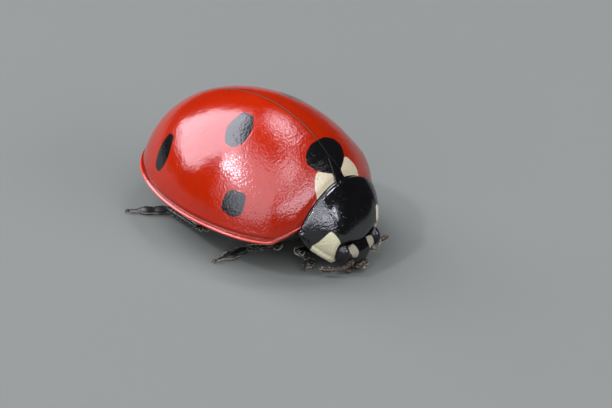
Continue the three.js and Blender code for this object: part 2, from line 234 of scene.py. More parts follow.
def ramp(tree, value, low, high, start=0.0, end=1.0, curve="SMOOTHSTEP"):
    """A smooth change from start to end while a value goes from low to high."""
    feeds = {"Value": value, "From Min": low, "From Max": high, "To Min": start, "To Max": end}
    return add(tree, "ShaderNodeMapRange", feeds, interpolation_type=curve).outputs[0]


def noise(tree, place, scale, detail=2.0):
    feeds = {"Vector": place, "Scale": scale, "Detail": detail}
    return add(tree, "ShaderNodeTexNoise", feeds).outputs[0]


def new_group(name, inputs, outputs):
    """An empty node group. Inputs maps names to defaults, and a tuple makes a vector socket."""
    tree = bpy.data.node_groups.new(name, "ShaderNodeTree")
    for label, default in inputs.items():
        kind = "NodeSocketVector" if isinstance(default, tuple) else "NodeSocketFloat"
        socket = tree.interface.new_socket(label, in_out="INPUT", socket_type=kind)
        socket.default_value = default
    for label in outputs:
        tree.interface.new_socket(label, in_out="OUTPUT", socket_type="NodeSocketFloat")
    return tree, tree.nodes.new("NodeGroupInput").outputs, tree.nodes.new("NodeGroupOutput").inputs


def use(tree, group, **feeds):
    """A node group placed in a tree, with a value or a socket for each of its inputs."""
    return add(tree, "ShaderNodeGroup", feeds, node_tree=group).outputs


print("colour sockets of a Mix node:", MIX_FIRST, "and", MIX_SECOND)

# %% [markdown]
# ## Shared effects: pits and skin grain
# A beetle's armour is covered in fine pits, each the seat of a hair that has often worn away. A Voronoi
# texture gives one cell per pit, and the distance from the cell's middle gives the pit's profile. Grain
# is plain noise, finer than the pits, which breaks up the reflections, and a much broader noise beside
# it varies the colour. Both are node groups, because each finish uses them at its own scale.

# %% Pits and grain
PIT_RANDOMNESS = 0.85
PIT_FLOOR_SHARE = 0.3
GRAIN_DETAIL = 3.0
MOTTLE_SHARE = 0.08


def make_pits():
    inputs = {"Vector": (0, 0, 0), "Spacing": 0.1, "Width": 0.3}
    tree, given, out = new_group("Pits", inputs, ["Height", "Floor"])
    density = sums(tree, "DIVIDE", 1.0, given["Spacing"])
    cells = {"Vector": given["Vector"], "Scale": density, "Randomness": PIT_RANDOMNESS}
    distance = add(tree, "ShaderNodeTexVoronoi", cells).outputs["Distance"]
    floor_width = sums(tree, "MULTIPLY", given["Width"], PIT_FLOOR_SHARE)
    height = ramp(tree, distance, floor_width, given["Width"])
    tree.links.new(height, out["Height"])
    tree.links.new(sums(tree, "SUBTRACT", 1.0, height), out["Floor"])
    return tree


def make_grain():
    inputs = {"Vector": (0, 0, 0), "Size": 0.05}
    tree, given, out = new_group("Skin grain", inputs, ["Height", "Mottle"])
    scale = sums(tree, "DIVIDE", 1.0, given["Size"])
    tree.links.new(noise(tree, given["Vector"], scale, GRAIN_DETAIL), out["Height"])
    broad_scale = sums(tree, "MULTIPLY", scale, MOTTLE_SHARE)
    tree.links.new(noise(tree, given["Vector"], broad_scale), out["Mottle"])
    return tree


PITS = make_pits()
GRAIN = make_grain()
print("shared effects:", PITS.name, "and", GRAIN.name)

# %% [markdown]
# ## Markings as patches
# A marking could be an image, but its edge would blur close up. Here it is worked out from a few corners
# on the surface. Each side of the patch is a plane through two corners, and the largest of the
# distances to those planes is the distance to the patch. Taking the largest softly rounds the corners,
# and a little noise makes the edge as uneven as a real one.

# %% The patch of a marking
EDGE_WOBBLE = 0.03
WOBBLE_SCALE = 6.0
CORNER_ROUNDING = 0.12
EDGE_SOFTNESS = 0.012


def make_side():
    inputs = {"Vector": (0, 0, 0), "Corner": (0, 0, 0), "Outward": (1, 0, 0)}
    tree, given, out = new_group("Side of a marking", inputs, ["Distance"])
    corner = {0: given["Vector"], 1: given["Corner"]}
    gap = add(tree, "ShaderNodeVectorMath", corner, operation="SUBTRACT")
    across = {0: gap.outputs[0], 1: given["Outward"]}
    along = add(tree, "ShaderNodeVectorMath", across, operation="DOT_PRODUCT")
    tree.links.new(along.outputs["Value"], out["Distance"])
    return tree


SIDE = make_side()
print("one side of a marking:", SIDE.name)


def patch(tree, place, corners):
    """The mask of a marking, from its corners on the surface, in order, in millimetres."""
    corners = [Vector(corner) for corner in corners]
    middle = sum(corners, Vector()) / len(corners)
    facing = Vector()
    for first, second in zip(corners, corners[1:] + corners[:1]):
        facing += (first - middle).cross(second - middle)
    distance = None
    for first, second in zip(corners, corners[1:] + corners[:1]):
        outward = (second - first).cross(facing).normalized()
        side = use(tree, SIDE, Vector=place, Corner=first, Outward=outward)["Distance"]
        if distance is None:
            distance = side
        else:
            distance = sums(tree, "SMOOTH_MAX", distance, side, CORNER_ROUNDING)
    uneven = sums(tree, "SUBTRACT", noise(tree, place, WOBBLE_SCALE), 0.5)
    distance = sums(tree, "ADD", distance, sums(tree, "MULTIPLY", uneven, EDGE_WOBBLE))
    return ramp(tree, distance, -EDGE_SOFTNESS, EDGE_SOFTNESS, 1.0, 0.0)


# %% [markdown]
# ## Starting and finishing a material
# Patterns are easiest to size in millimetres, so each material starts from the object's own coordinates,
# turned into millimetres from the landmark. Folding the right half onto the left lets a marking that is
# set out once show on both sides. Relief that is too fine for the mesh is a bump of a real depth. At
# the end, colour, roughness and bump go into the shader, while the shine, which is the same all over,
# is set on the shader itself.

# %% Material helpers
MOTTLE_BAND = (0.35, 0.65)
ROUGHNESS_BAND = (0.3, 0.7)


def new_material(name):
    """A material, its tree, its Principled shader and the place on the animal in millimetres."""
    material = bpy.data.materials.new(name)
    material.use_nodes = True
    tree = material.node_tree
    shader = tree.nodes["Principled BSDF"]
    where = add(tree, "ShaderNodeTexCoord").outputs["Object"]
    feeds = {"Vector": where, "Scale": (1 / MM, 1 / MM, 1 / MM), "Location": tuple(-LANDMARK)}
    place = add(tree, "ShaderNodeMapping", feeds).outputs[0]
    return material, tree, shader, place


def split(tree, place):
    """The three coordinates of a place."""
    return add(tree, "ShaderNodeSeparateXYZ", {0: place}).outputs


def mirrored_place(tree, place):
    """The same place with the right half folded onto the left, for markings on both sides."""
    x, y, z = split(tree, place)
    return add(tree, "ShaderNodeCombineXYZ", {0: sums(tree, "ABSOLUTE", x), 1: y, 2: z}).outputs[0]


def bump(tree, height, depth_mm, normal=None):
    """A bump of a real depth. It can lie on top of an earlier one."""
    feeds = {"Height": height, "Distance": depth_mm * MM, "Strength": 1.0}
    if normal is not None:
        feeds["Normal"] = normal
    return add(tree, "ShaderNodeBump", feeds).outputs[0]


def mottled(tree, value, first, second):
    """Patches of two colours: the first where a noise is low and the second where it is high."""
    return blend(tree, ramp(tree, value, *MOTTLE_BAND), first, second)


def finish_material(tree, shader, colour, roughness, normal=None, shine=0.5):
    tree.links.new(colour, shader.inputs["Base Color"])
    tree.links.new(roughness, shader.inputs["Roughness"])
    if normal is not None:
        tree.links.new(normal, shader.inputs["Normal"])
    shader.inputs["Specular IOR Level"].default_value = shine


print("patterns start at the landmark, with", round(1 / MM), "millimetres to a metre")

# %% [markdown]
# ## Turning a bmesh into a piece of the model
# Most of the animal is curved sheets. A flat grid whose vertices are moved onto a formula makes one,
# with even rows and columns, and welding the vertices that meet closes its seams and poles. Doing this
# in one function means no piece can miss a step.

# %% Shape helpers
WELD_DISTANCE = 1e-4


def bent_grid(columns, rows, place_at):
    """A grid whose vertices go where place_at(u, v) says, with u and v from 0 to 1."""
    bm = bmesh.new()
    bmesh.ops.create_grid(bm, x_segments=columns, y_segments=rows, size=0.5)
    for vert in bm.verts:
        vert.co = place_at(vert.co.x + 0.5, vert.co.y + 0.5)
    bmesh.ops.remove_doubles(bm, verts=bm.verts, dist=WELD_DISTANCE)
    return bm


def closed_grid(columns, rows, place_at):
    """A bent grid that closes on itself, with its faces pointing outwards."""
    bm = bent_grid(columns, rows, place_at)
    bmesh.ops.recalc_face_normals(bm, faces=bm.faces)
    return bm


def face_away_from(bm, core):
    """Turns a sheet's faces so that their normals point away from a point inside the body."""
    bmesh.ops.recalc_face_normals(bm, faces=bm.faces)
    if sum(face.normal.dot(face.calc_center_median() - Vector(core)) for face in bm.faces) < 0:
        bmesh.ops.reverse_faces(bm, faces=bm.faces)


def finish_piece(name, bm, material, stands_for=(), wall=0.0):
    """Makes the object. The wall of a shell is in millimetres."""
    bmesh.ops.translate(bm, verts=bm.verts, vec=LANDMARK)
    bmesh.ops.scale(bm, verts=bm.verts, vec=(MM, MM, MM))
    for face in bm.faces:
        face.smooth = True
    mesh = bpy.data.meshes.new(name)
    bm.to_mesh(mesh)
    bm.free()
    mesh.materials.append(material)
    piece = bpy.data.objects.new(name, mesh)
    bpy.context.scene.collection.objects.link(piece)
    if wall:
        shell = piece.modifiers.new("wall", "SOLIDIFY")
        shell.thickness = wall * MM
        shell.offset = -1
    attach(piece, "root")
    if stands_for:
        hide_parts(*stands_for)
    print(name, "faces:", len(mesh.polygons))


print("vertices within", WELD_DISTANCE, "mm of each other are welded")

# %% [markdown]
# ## The floor
# A matt sheet under the animal, large enough that its edge never shows. Its tone is kept low, because
# the strong lamps would otherwise burn it out. The backdrop gives only a little light of its own, so
# that it doesn't wash out the shadows under the rim.

# %% Floor and backdrop
FLOOR_SIZE = 4
FLOOR_CELLS = 8
FLOOR_GREY = (0.088, 0.094, 0.08, 1)
FLOOR_SHADE = 0.94
FLOOR_ROUGHNESS = 0.9
CLOUD_SCALE = 60.0
CLOUD_DETAIL = 4.0
BACKDROP = (0.62, 0.65, 0.68, 1)
BACKDROP_STRENGTH = 0.03


def floor_material():
    material = bpy.data.materials.new("floor_paper")
    material.use_nodes = True
    tree = material.node_tree
    shader = tree.nodes["Principled BSDF"]
    shader.inputs["Roughness"].default_value = FLOOR_ROUGHNESS
    where = add(tree, "ShaderNodeTexCoord").outputs["Object"]
    cloudy = noise(tree, where, CLOUD_SCALE, CLOUD_DETAIL)
    dark = tuple(FLOOR_SHADE * part for part in FLOOR_GREY)
    tree.links.new(blend(tree, cloudy, dark, FLOOR_GREY), shader.inputs["Base Color"])
    return material


def make_floor():
    bm = bmesh.new()
    bmesh.ops.create_grid(bm, x_segments=FLOOR_CELLS, y_segments=FLOOR_CELLS, size=FLOOR_SIZE / 2)
    mesh = bpy.data.meshes.new("floor")
    bm.to_mesh(mesh)
    bm.free()
    mesh.materials.append(floor_material())
    floor = bpy.data.objects.new("floor", mesh)
    bpy.context.scene.collection.objects.link(floor)
    floor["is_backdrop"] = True


def make_backdrop():
    world = bpy.data.worlds.new("studio")
    world.use_nodes = True
    inputs = world.node_tree.nodes["Background"].inputs
    inputs["Color"].default_value = BACKDROP
    inputs["Strength"].default_value = BACKDROP_STRENGTH
    bpy.context.scene.world = world


make_floor()
make_backdrop()
print("floor:", FLOOR_SIZE, "m square")

# %% [markdown]
# ## The dome of the wing cases
# The two wing cases together make one dome, like half an egg. From above its outline is a superellipse,
# blunter in front than behind, and from the side it is another. Both stop short at the front edge,
# where the neck shield takes over. Any cross-section is an arch between the two. Writing the dome as a
# function of the distance along the body and the angle around the arch means that the shell, its
# markings and its rim bead can all ask for points on the same surface.

# %% The dome
CASE_LENGTH = 5.87
CASE_HALF_WIDTH = 2.77
CASE_HEIGHT = 2.66
WIDEST_Y = 2.21
FRONT_REACH = 2.52
FRONT_POWER = 2.71
REAR_POWER = 1.91
CROWN_Y = 2.59
CROWN_FRONT_REACH = 3.04
CROWN_FRONT_POWER = 1.9
CROWN_REAR_POWER = 1.93
ARCH_POWER = 1.79
SHOULDER_LIFT = 0.35
SHOULDER_REACH = 0.5
SEAM_GAP = 0.006
SCUTELLUM_LENGTH = 0.5
SCUTELLUM_HALF_WIDTH = 0.2


def fullness(distance, reach, power):
    """A rounded outline: 1 at no distance, 0 at the full reach."""
    return (1 - min(distance / reach, 1) ** power) ** (1 / power)


def half_width(y):
    if y > WIDEST_Y:
        return CASE_HALF_WIDTH * fullness(y - WIDEST_Y, CASE_LENGTH - WIDEST_Y, REAR_POWER)
    return CASE_HALF_WIDTH * fullness(WIDEST_Y - y, FRONT_REACH, FRONT_POWER)


def crown(y):
    if y > CROWN_Y:
        return CASE_HEIGHT * fullness(y - CROWN_Y, CASE_LENGTH - CROWN_Y, CROWN_REAR_POWER)
    return CASE_HEIGHT * fullness(CROWN_Y - y, CROWN_FRONT_REACH, CROWN_FRONT_POWER)


def shoulder_lift(y):
    return SHOULDER_LIFT * max(0, 1 - y / SHOULDER_REACH) ** 2


def rim_angle(y):
    lift = shoulder_lift(y)
    return math.acos((lift / max(crown(y), lift + SEAM_GAP)) ** (ARCH_POWER / 2))


def seam_angle(y):
    """Where the wing case starts beside the small plate in the front of the seam."""
    notch = SCUTELLUM_HALF_WIDTH * max(0, 1 - y / SCUTELLUM_LENGTH)
    return math.asin((notch / max(half_width(y), notch + SEAM_GAP)) ** (ARCH_POWER / 2))


def dome_point(y, angle, depth=0.0):
    """A point on the dome, or that far below it. The angle is 0 on the middle line."""
    x = half_width(y) * math.sin(angle) ** (2 / ARCH_POWER)
    z = crown(y) * max(math.cos(angle), 0) ** (2 / ARCH_POWER)
    rear = max(0, y - WIDEST_Y) / (CASE_LENGTH - WIDEST_Y) ** 2
    outward = Vector((x / CASE_HALF_WIDTH ** 2, rear, z / CASE_HEIGHT ** 2)).normalized()
    return Vector((x, y, z)) - outward * depth


print("front edge:", round(half_width(0), 2), "mm to a side and", round(crown(0), 2), "mm high")

# %% [markdown]
# ## Distances over the dome
# The bead, the gutter and the seam keep their distance in millimetres from an edge, while the dome is
# written with angles. So each cross-section is walked once in small steps, which gives the distance of
# every angle from the seam. Halving the list again and again finds the angle at any distance.

# %% Walking over an arch
ARCH_SAMPLES = 160


def arch(y):
    """Points across one side of the dome, with their distance from the seam."""
    first, last = seam_angle(y), rim_angle(y)
    run, points = 0.0, []
    for step in range(ARCH_SAMPLES + 1):
        angle = first + (last - first) * step / ARCH_SAMPLES
        point = dome_point(y, angle)
        if points:
            run += (point - points[-1][2]).length
        points.append((run, angle, point))
    return points


def along_arch(points, distance):
    """The angle at a distance along an arch."""
    low = 0
    high = len(points) - 1
    while high - low > 1:
        middle = (low + high) // 2
        if points[middle][0] <= distance:
            low = middle
        else:
            high = middle
    span = points[high][0] - points[low][0]
    part = (distance - points[low][0]) / span if span else 0
    return points[low][1] + (points[high][1] - points[low][1]) * part


print("seam to rim at the widest place:", round(arch(WIDEST_Y)[-1][0], 2), "mm")

# %% [markdown]
# ## Relief on the shell
# The outer edge of a wing case is rolled into a bead with a shallow gutter inside it. The front edge
# turns down under the neck shield, the edge along the seam dips a very little, and a low swelling
# stands on each shoulder. Each of them is a soft ridge at a distance from an edge or from a point, and
# their sum says how far the shell stands above the smooth dome.

# %% Bead, gutter, seam and shoulder
BEAD = {"height": 0.045, "centre": 0.05, "width": 0.04}
GUTTER = {"height": -0.028, "centre": 0.15, "width": 0.05}
SEAM_DIP = {"height": -0.002, "centre": 0.0, "width": 0.02}
FRONT_ROLL = {"height": -0.05, "centre": 0.0, "width": 0.05}
CALLUS = {"y": 0.62, "angle": 60, "height": 0.05, "radius": 0.42}


def relief(distance, height, centre, width):
    return height * ridge(distance, centre, width)


def shell_relief(y, from_seam, from_rim, point):
    """How far the real shell stands above the smooth dome."""
    height = relief(from_rim, **BEAD)
    height += relief(from_rim, **GUTTER) * (1 - shoulder_lift(y) / SHOULDER_LIFT)
    height += relief(from_seam, **SEAM_DIP) + relief(y, **FRONT_ROLL)
    callus = dome_point(CALLUS["y"], math.radians(CALLUS["angle"]))
    return height + CALLUS["height"] * ridge((point - callus).length, 0, CALLUS["radius"])


print("highest ridge:", max(BEAD["height"], CALLUS["height"]), "mm")

# %% [markdown]
# ## The wing cases
# On the real beetle each wing case is a hard sheet about a tenth of a millimetre thick. Below its bead
# it turns in as a flat ledge that meets the side of the body. Its sides flare out a little towards the
# rim, and its front corner draws in beside the neck shield. A grid bent over the dome and given a
# thickness makes such a sheet. The rows and columns crowd together at the edges, where the bead needs
# them, by spacing them along a cosine.

# %% The shells
CASE_WALL = 0.12
CASE_ROWS = 150
CASE_COLUMNS = 130
LEDGE_SHARE = 0.12
LEDGE_WIDTH = 0.42
LEDGE_REACH = 0.7
LEDGE_HOLLOW = 0.14
RIM_FLARE = 0.04
FLARE_HEIGHT = 0.35
FLARE_HALF_WIDTH = 0.5
CORNER_TUCK = {"depth": 0.1, "length": 0.5, "height": 0.9}


def ledge_point(y, part, arch_length):
    """The ledge under the rim, from the bead, part = 0, to the side of the body, part = 1."""
    angle = rim_angle(y)
    rim = dome_point(y, angle, -shell_relief(y, arch_length, 0, dome_point(y, angle)))
    rear = max(0, y - WIDEST_Y) / (CASE_LENGTH - WIDEST_Y) ** 2
    outward = Vector((rim.x / CASE_HALF_WIDTH ** 2, rear, 0)).normalized()
    width = min(LEDGE_WIDTH, LEDGE_REACH * half_width(y))
    hollow = LEDGE_HOLLOW * width * math.sin(math.pi * part / 2)
    return rim - outward * width * part + Vector((0, 0, hollow))


def corner_tuck(point):
    """How far the front corner of the shell draws in, beside the neck shield."""
    near = max(0, 1 - point.y / CORNER_TUCK["length"]) ** 2
    return CORNER_TUCK["depth"] * near * (1 - smooth_step(0, CORNER_TUCK["height"], point.z))


def wing_case(side):
    arches = {}

    def at(u, v):
        row = round(v * CASE_ROWS)
        y = CASE_LENGTH * (1 - math.cos(math.pi * row / CASE_ROWS)) / 2
        if row not in arches:
            arches[row] = arch(y)
        part = u / (1 - LEDGE_SHARE)
        flare = RIM_FLARE * min(1, half_width(y) / FLARE_HALF_WIDTH)
        whole = arches[row][-1][0]
        if part > 1:
            point = ledge_point(y, (part - 1) * (1 - LEDGE_SHARE) / LEDGE_SHARE, whole)
        else:
            distance = whole * (1 - math.cos(math.pi * part)) / 2
            angle = along_arch(arches[row], distance)
            height = shell_relief(y, distance, whole - distance, dome_point(y, angle))
            point = dome_point(y, angle, -height)
        flare *= 1 - smooth_step(0, FLARE_HEIGHT, point.z)
        flare -= corner_tuck(point)
        return Vector((side * (max(point.x, 0) + flare + SEAM_GAP / 2), point.y, point.z))

    bm = bent_grid(CASE_COLUMNS, CASE_ROWS, at)
    face_away_from(bm, (0, WIDEST_Y, 0))
    return bm


print("shell grid:", CASE_COLUMNS, "columns and", CASE_ROWS, "rows")

# %% [markdown]
# ## Seven spots and two cream marks
# Three spots lie on each wing case. The seventh is shared between them, around the small plate in the
# front of the seam, and has a short stem in front. A cream mark lies on each side of it, along the
# front edge. The markings are places on the shell, so each is a patch set out by its corners on the
# dome. Only the left side is set out, and the right side folds onto it.

# %% Markings of the wing cases, as distance along the body and angle around the arch
SIDE_SPOT = [(1.78, 61), (1.36, 59.5), (1.26, 65), (1.26, 72.5), (1.48, 76), (1.86, 74), (1.9, 66)]
BACK_SPOT = [
    (2.72, 19.5), (2.38, 19), (2.14, 26), (2.1, 36),
    (2.3, 41.5), (2.6, 41), (2.82, 33), (2.78, 23),
]
TAIL_SPOT = [
    (4.5, 47), (4.26, 48), (4.1, 60), (4.14, 69),
    (4.29, 74), (4.5, 72), (4.61, 62), (4.6, 54),
]
SHARED_SPOT = [
    (0.1, 7), (0.2, 14.5), (0.36, 20), (0.56, 21.5),
    (0.72, 18), (0.83, 9), (0.83, -9), (0.1, -7),
]
SPOT_STEM = [(-0.15, 6.5), (0.3, 7.5), (0.3, -7.5), (-0.15, -6.5)]
SPOTS = (SIDE_SPOT, BACK_SPOT, TAIL_SPOT, SHARED_SPOT, SPOT_STEM)
CREAM_MARK = [
    (-0.15, 6.3), (0.05, 5.3), (0.17, 9.5), (0.31, 18),
    (0.3, 22), (0.17, 29), (0.08, 33), (-0.15, 35),
]


def on_dome(y, degrees):
    """A marking's corner, in three dimensions. Corners in front of the edge run straight on."""
    point = dome_point(max(y, 0), math.radians(abs(degrees)))
    return Vector((math.copysign(point.x, degrees), min(y, point.y), point.z + min(y, 0)))


def dome_patch(tree, folded, corners):
    return patch(tree, folded, [on_dome(*corner) for corner in corners])


def spots_mask(tree, folded):
    """1 in every black spot and 0 between them."""
    black = None
    for corners in SPOTS:
        spot = dome_patch(tree, folded, corners)
        if black is None:
            black = spot
        else:
            black = sums(tree, "MAXIMUM", black, spot)
    return black


print("corners of the spots:", sum(len(corners) for corners in SPOTS))

# %% [markdown]
# ## Red lacquer
# The red is a pigment in a hard, clear skin. Its gloss is the shader's own, kept sharp by a low
# roughness, and what brings it to life is the relief in the reflections: fine grain that weakens
# towards the rear, wrinkles near the front edge, and broad, shallow waves. Each is a bump of its own
# depth. The pits are only small dots, duller than the rest and darkened with painted shade. Painted
# shade also deepens the red in the gutter and along the seam and turns the crease brown, and a
# painted highlight makes the red paler on the rim.

# %% Edges of the lacquer, in millimetres
# Painted shade: the red darkens in the gutter inside the bead.
GUTTER_SHADE = {"height": 0.15, "band": (0.01, 0.06), "strength": 0.6}
# Painted highlight: the red turns paler on the rim bead, below this height.
RIM_HIGHLIGHT_BAND = (0.07, 0.11)
# Painted shade: the red darkens along the seam.
SEAM_SHADE_BAND = (0.01, 0.09)
SEAM_SHADE = 0.6
# Painted shade: the crease beside the seam is brown.
CREASE_SHADE_BAND = (0.01, 0.03)


def distance_from_seam(tree, x, y):
    """The distance to the inner edge of the wing case, which opens in front for the scutellum."""
    notch = ramp(tree, y, 0.0, SCUTELLUM_LENGTH, SCUTELLUM_HALF_WIDTH, 0.0, "LINEAR")
    return sums(tree, "SUBTRACT", x, notch)


def lacquer_edges(tree, folded):
    """Three masks: painted shade in gutter and seam, a painted highlight on the rim, painted shade in the
    crease.
    """
    x, y, z = split(tree, folded)
    from_seam = distance_from_seam(tree, x, y)
    from_gutter = sums(tree, "ABSOLUTE", sums(tree, "SUBTRACT", z, GUTTER_SHADE["height"]))
    gutter = ramp(tree, from_gutter, *GUTTER_SHADE["band"], GUTTER_SHADE["strength"], 0.0)
    seam = ramp(tree, from_seam, *SEAM_SHADE_BAND, SEAM_SHADE, 0.0)
    # Painted highlight on the rim.
    rim = ramp(tree, z, *RIM_HIGHLIGHT_BAND, 1.0, 0.0)
    # Painted shade in the crease.
    crease = ramp(tree, from_seam, *CREASE_SHADE_BAND, 1.0, 0.0)
    return sums(tree, "MAXIMUM", gutter, seam), rim, crease


print("the lacquer starts to deepen", SEAM_SHADE_BAND[1], "mm from the seam")

# %% [markdown]
# ## Layers of the lacquer
# A colour is built like a painting, from the ground up: two reds in broad clouds, then the painted
# highlight on the rim and the painted shade in gutter, seam and pits, then the cream marks, the painted
# shade in the crease, and the spots on top. The relief starts with the broadest form and ends with the
# finest, so that each bump lies on the one before. With both in functions of their own, the material
# only has to bring them together.

# %% The lacquer
RED = (0.175, 0.005, 0.0002, 1)
# The pale red of the painted highlight on the rim.
RIM_HIGHLIGHT_RED = (0.4, 0.04, 0.022, 1)
# The dark red of the painted shade in the gutter, along the seam and in the pits.
PAINTED_SHADE_RED = (0.08, 0.0025, 0.0003, 1)
BRIGHT_RED = (0.225, 0.01, 0.0003, 1)
SPOT_BLACK = (0.0025, 0.0025, 0.0025, 1)
CREAM = (0.36, 0.31, 0.2, 1)
# The brown of the painted shade in the crease and in the pits of the pale marks.
PAINTED_SHADE_BROWN = (0.05, 0.012, 0.004, 1)
CASE_GRAIN_SIZE = 0.06
CASE_PIT_SPACING = 0.17
CASE_PIT_WIDTH = 0.19
# Painted shade in the pits: how far they darken on the red and on the cream.
PIT_SHADE_ON_RED = 0.7
PIT_SHADE_ON_CREAM = 0.6
PIT_DULLNESS = 0.3
WAVE_SIZE = 0.45
WAVE_DEPTH = 0.014
WRINKLE_SCALE = (2, 10, 2)
WRINKLE_FADE = (0.9, 1.7)
WRINKLE_DEPTH = 0.011
GRAIN_FADE = (1.8, 2.8)
GRAIN_AT_REAR = 0.4
GRAIN_DEPTH = 0.0105
CASE_ROUGHNESS = (0.13, 1.0)


def lacquer_colour(tree, folded, grain, pits, edges, black):
    deep, rim, crease = edges
    colour = blend(tree, grain["Mottle"], BRIGHT_RED, RED)
    # Painted highlight on the rim.
    colour = blend(tree, rim, colour, RIM_HIGHLIGHT_RED)
    # Painted shade in the gutter and along the seam.
    colour = blend(tree, deep, colour, PAINTED_SHADE_RED)
    # Painted shade in the pits of the red.
    colour = blend(tree, sums(tree, "MULTIPLY", pits["Floor"], PIT_SHADE_ON_RED), colour, PAINTED_SHADE_RED)
    # Painted shade in the pits of the cream marks.
    cream = blend(tree, sums(tree, "MULTIPLY", pits["Floor"], PIT_SHADE_ON_CREAM), CREAM, PAINTED_SHADE_BROWN)
    colour = blend(tree, dome_patch(tree, folded, CREAM_MARK), colour, cream)
    # Painted shade in the crease.
    colour = blend(tree, crease, colour, PAINTED_SHADE_BROWN)
    return blend(tree, black, colour, SPOT_BLACK)


def lacquer_skin(tree, place, y, grain):
    waves = use(tree, GRAIN, Vector=place, Size=WAVE_SIZE)
    stretched = add(tree, "ShaderNodeMapping", {"Vector": place, "Scale": WRINKLE_SCALE}).outputs[0]
    in_front = ramp(tree, y, *WRINKLE_FADE, 1.0, 0.0)
    wrinkles = sums(tree, "MULTIPLY", noise(tree, stretched, 1.0), in_front)
    broad = bump(tree, wrinkles, WRINKLE_DEPTH, bump(tree, waves["Height"], WAVE_DEPTH))
    fading = ramp(tree, y, *GRAIN_FADE, 1.0, GRAIN_AT_REAR)
    return bump(tree, sums(tree, "MULTIPLY", grain["Height"], fading), GRAIN_DEPTH, broad)


def wing_case_material():
    material, tree, shader, place = new_material("wing_case_lacquer")
    folded = mirrored_place(tree, place)
    grain = use(tree, GRAIN, Vector=place, Size=CASE_GRAIN_SIZE)
    pits = use(tree, PITS, Vector=place, Spacing=CASE_PIT_SPACING, Width=CASE_PIT_WIDTH)
    deep, rim, crease = lacquer_edges(tree, folded)
    black = spots_mask(tree, folded)
    colour = lacquer_colour(tree, folded, grain, pits, (deep, rim, crease), black)
    bare_crease = sums(tree, "MULTIPLY", crease, sums(tree, "SUBTRACT", 1.0, black))
    dull_pits = sums(tree, "MULTIPLY", pits["Floor"], PIT_DULLNESS)
    dull = sums(tree, "MAXIMUM", bare_crease, dull_pits)
    skin = lacquer_skin(tree, place, split(tree, folded)[1], grain)
    finish_material(tree, shader, colour, ramp(tree, dull, 0.0, 1.0, *CASE_ROUGHNESS), skin)
    return material


CASE_LACQUER = wing_case_material()
for side_name, side in SIDES.items():
    finish_piece("wing_case_shell_" + side_name, wing_case(side), CASE_LACQUER,
                 ["wing_case_" + side_name], wall=CASE_WALL)

# %% [markdown]
# ## The neck shield
# In front of the wing cases a saddle-shaped plate covers the neck. Its hind edge is wide and follows
# the wing cases, and its front edge hugs the head, a little scooped behind each eye. Its side edges
# are rolled into a bead, and turn in below it. Two curves describe the plate: one down its middle line
# and one down its side edge. Every cross-section is an arch between them, so a grid can be bent over
# the saddle the same way as over the dome.

# %% The saddle of the neck shield
SHIELD_MIDDLE = [(0, -0.034, 1.354), (0, -0.729, 0.786), (0, -0.962, -0.099)]
SHIELD_EDGE = [(1.705, -0.082, 0.314), (1.595, -0.127, -0.211), (0.854, -0.614, -0.708)]
SHIELD_ARCH_POWERS = (1.61, 3.77)
EYE_NOTCH = 0.117
SHIELD_WALL = 0.1
SHIELD_COLUMNS = 120
SHIELD_ROWS = 70
SHIELD_LENGTH = 1.75
SHIELD_SPAN = 4.6
SHIELD_BEAD = {"height": 0.025, "centre": 0.045, "width": 0.04}
SHIELD_GUTTER = {"height": -0.02, "centre": 0.14, "width": 0.05}
SHIELD_HIND_ROLL = {"height": -0.07, "centre": 0.0, "width": 0.12}
SHIELD_FRONT_ROLL = {"height": -0.04, "centre": 0.0, "width": 0.05}
SHIELD_LEDGE_SHARE = 0.08
SHIELD_LEDGES = (0.42, 0.2)
SHIELD_CORE = (0, 0.3, -0.2)


def bezier(points, t):
    first, second, third = (Vector(point) for point in points)
    return first * (1 - t) ** 2 + second * (2 * t * (1 - t)) + third * t ** 2


def mix(low, high, part):
    return low + (high - low) * part


def shield_point(along, across, depth=0.0):
    """Along runs from the hind edge, 0, to the front edge, 1, and across from -1 to 1."""
    inset = along * (1 - EYE_NOTCH * math.sin(math.pi * abs(across)))
    middle = bezier(SHIELD_MIDDLE, inset)
    edge = bezier(SHIELD_EDGE, inset)
    angle = abs(across) * math.pi / 2
    power = mix(*SHIELD_ARCH_POWERS, along)
    reach = math.sin(angle) ** (2 / power)
    fall = 1 - max(0, math.cos(angle)) ** (2 / power)
    x = math.copysign(edge.x * reach, across)
    point = Vector((x, mix(middle.y, edge.y, fall), mix(middle.z, edge.z, fall)))
    core = Vector((0, edge.y, edge.z))
    return point + (core - point).normalized() * depth


def neck_shield():
    def at(u, v):
        along = (1 - math.cos(math.pi * v)) / 2
        past = max(SHIELD_LEDGE_SHARE - u, u - 1 + SHIELD_LEDGE_SHARE) / SHIELD_LEDGE_SHARE
        if past > 0:
            return shield_point(along, math.copysign(1, u - 0.5), past * mix(*SHIELD_LEDGES, along))
        across = -math.cos(math.pi * (u - SHIELD_LEDGE_SHARE) / (1 - 2 * SHIELD_LEDGE_SHARE))
        from_side = (1 - abs(across)) * SHIELD_SPAN / 2
        height = relief(from_side, **SHIELD_BEAD) + relief(from_side, **SHIELD_GUTTER)
        height += relief(along * SHIELD_LENGTH, **SHIELD_HIND_ROLL)
        height += relief((1 - along) * SHIELD_LENGTH, **SHIELD_FRONT_ROLL)
        return shield_point(along, across, -height)

    bm = bent_grid(SHIELD_COLUMNS, SHIELD_ROWS, at)
    face_away_from(bm, SHIELD_CORE)
    return bm


print("shield grid:", SHIELD_COLUMNS, "columns and", SHIELD_ROWS, "rows")

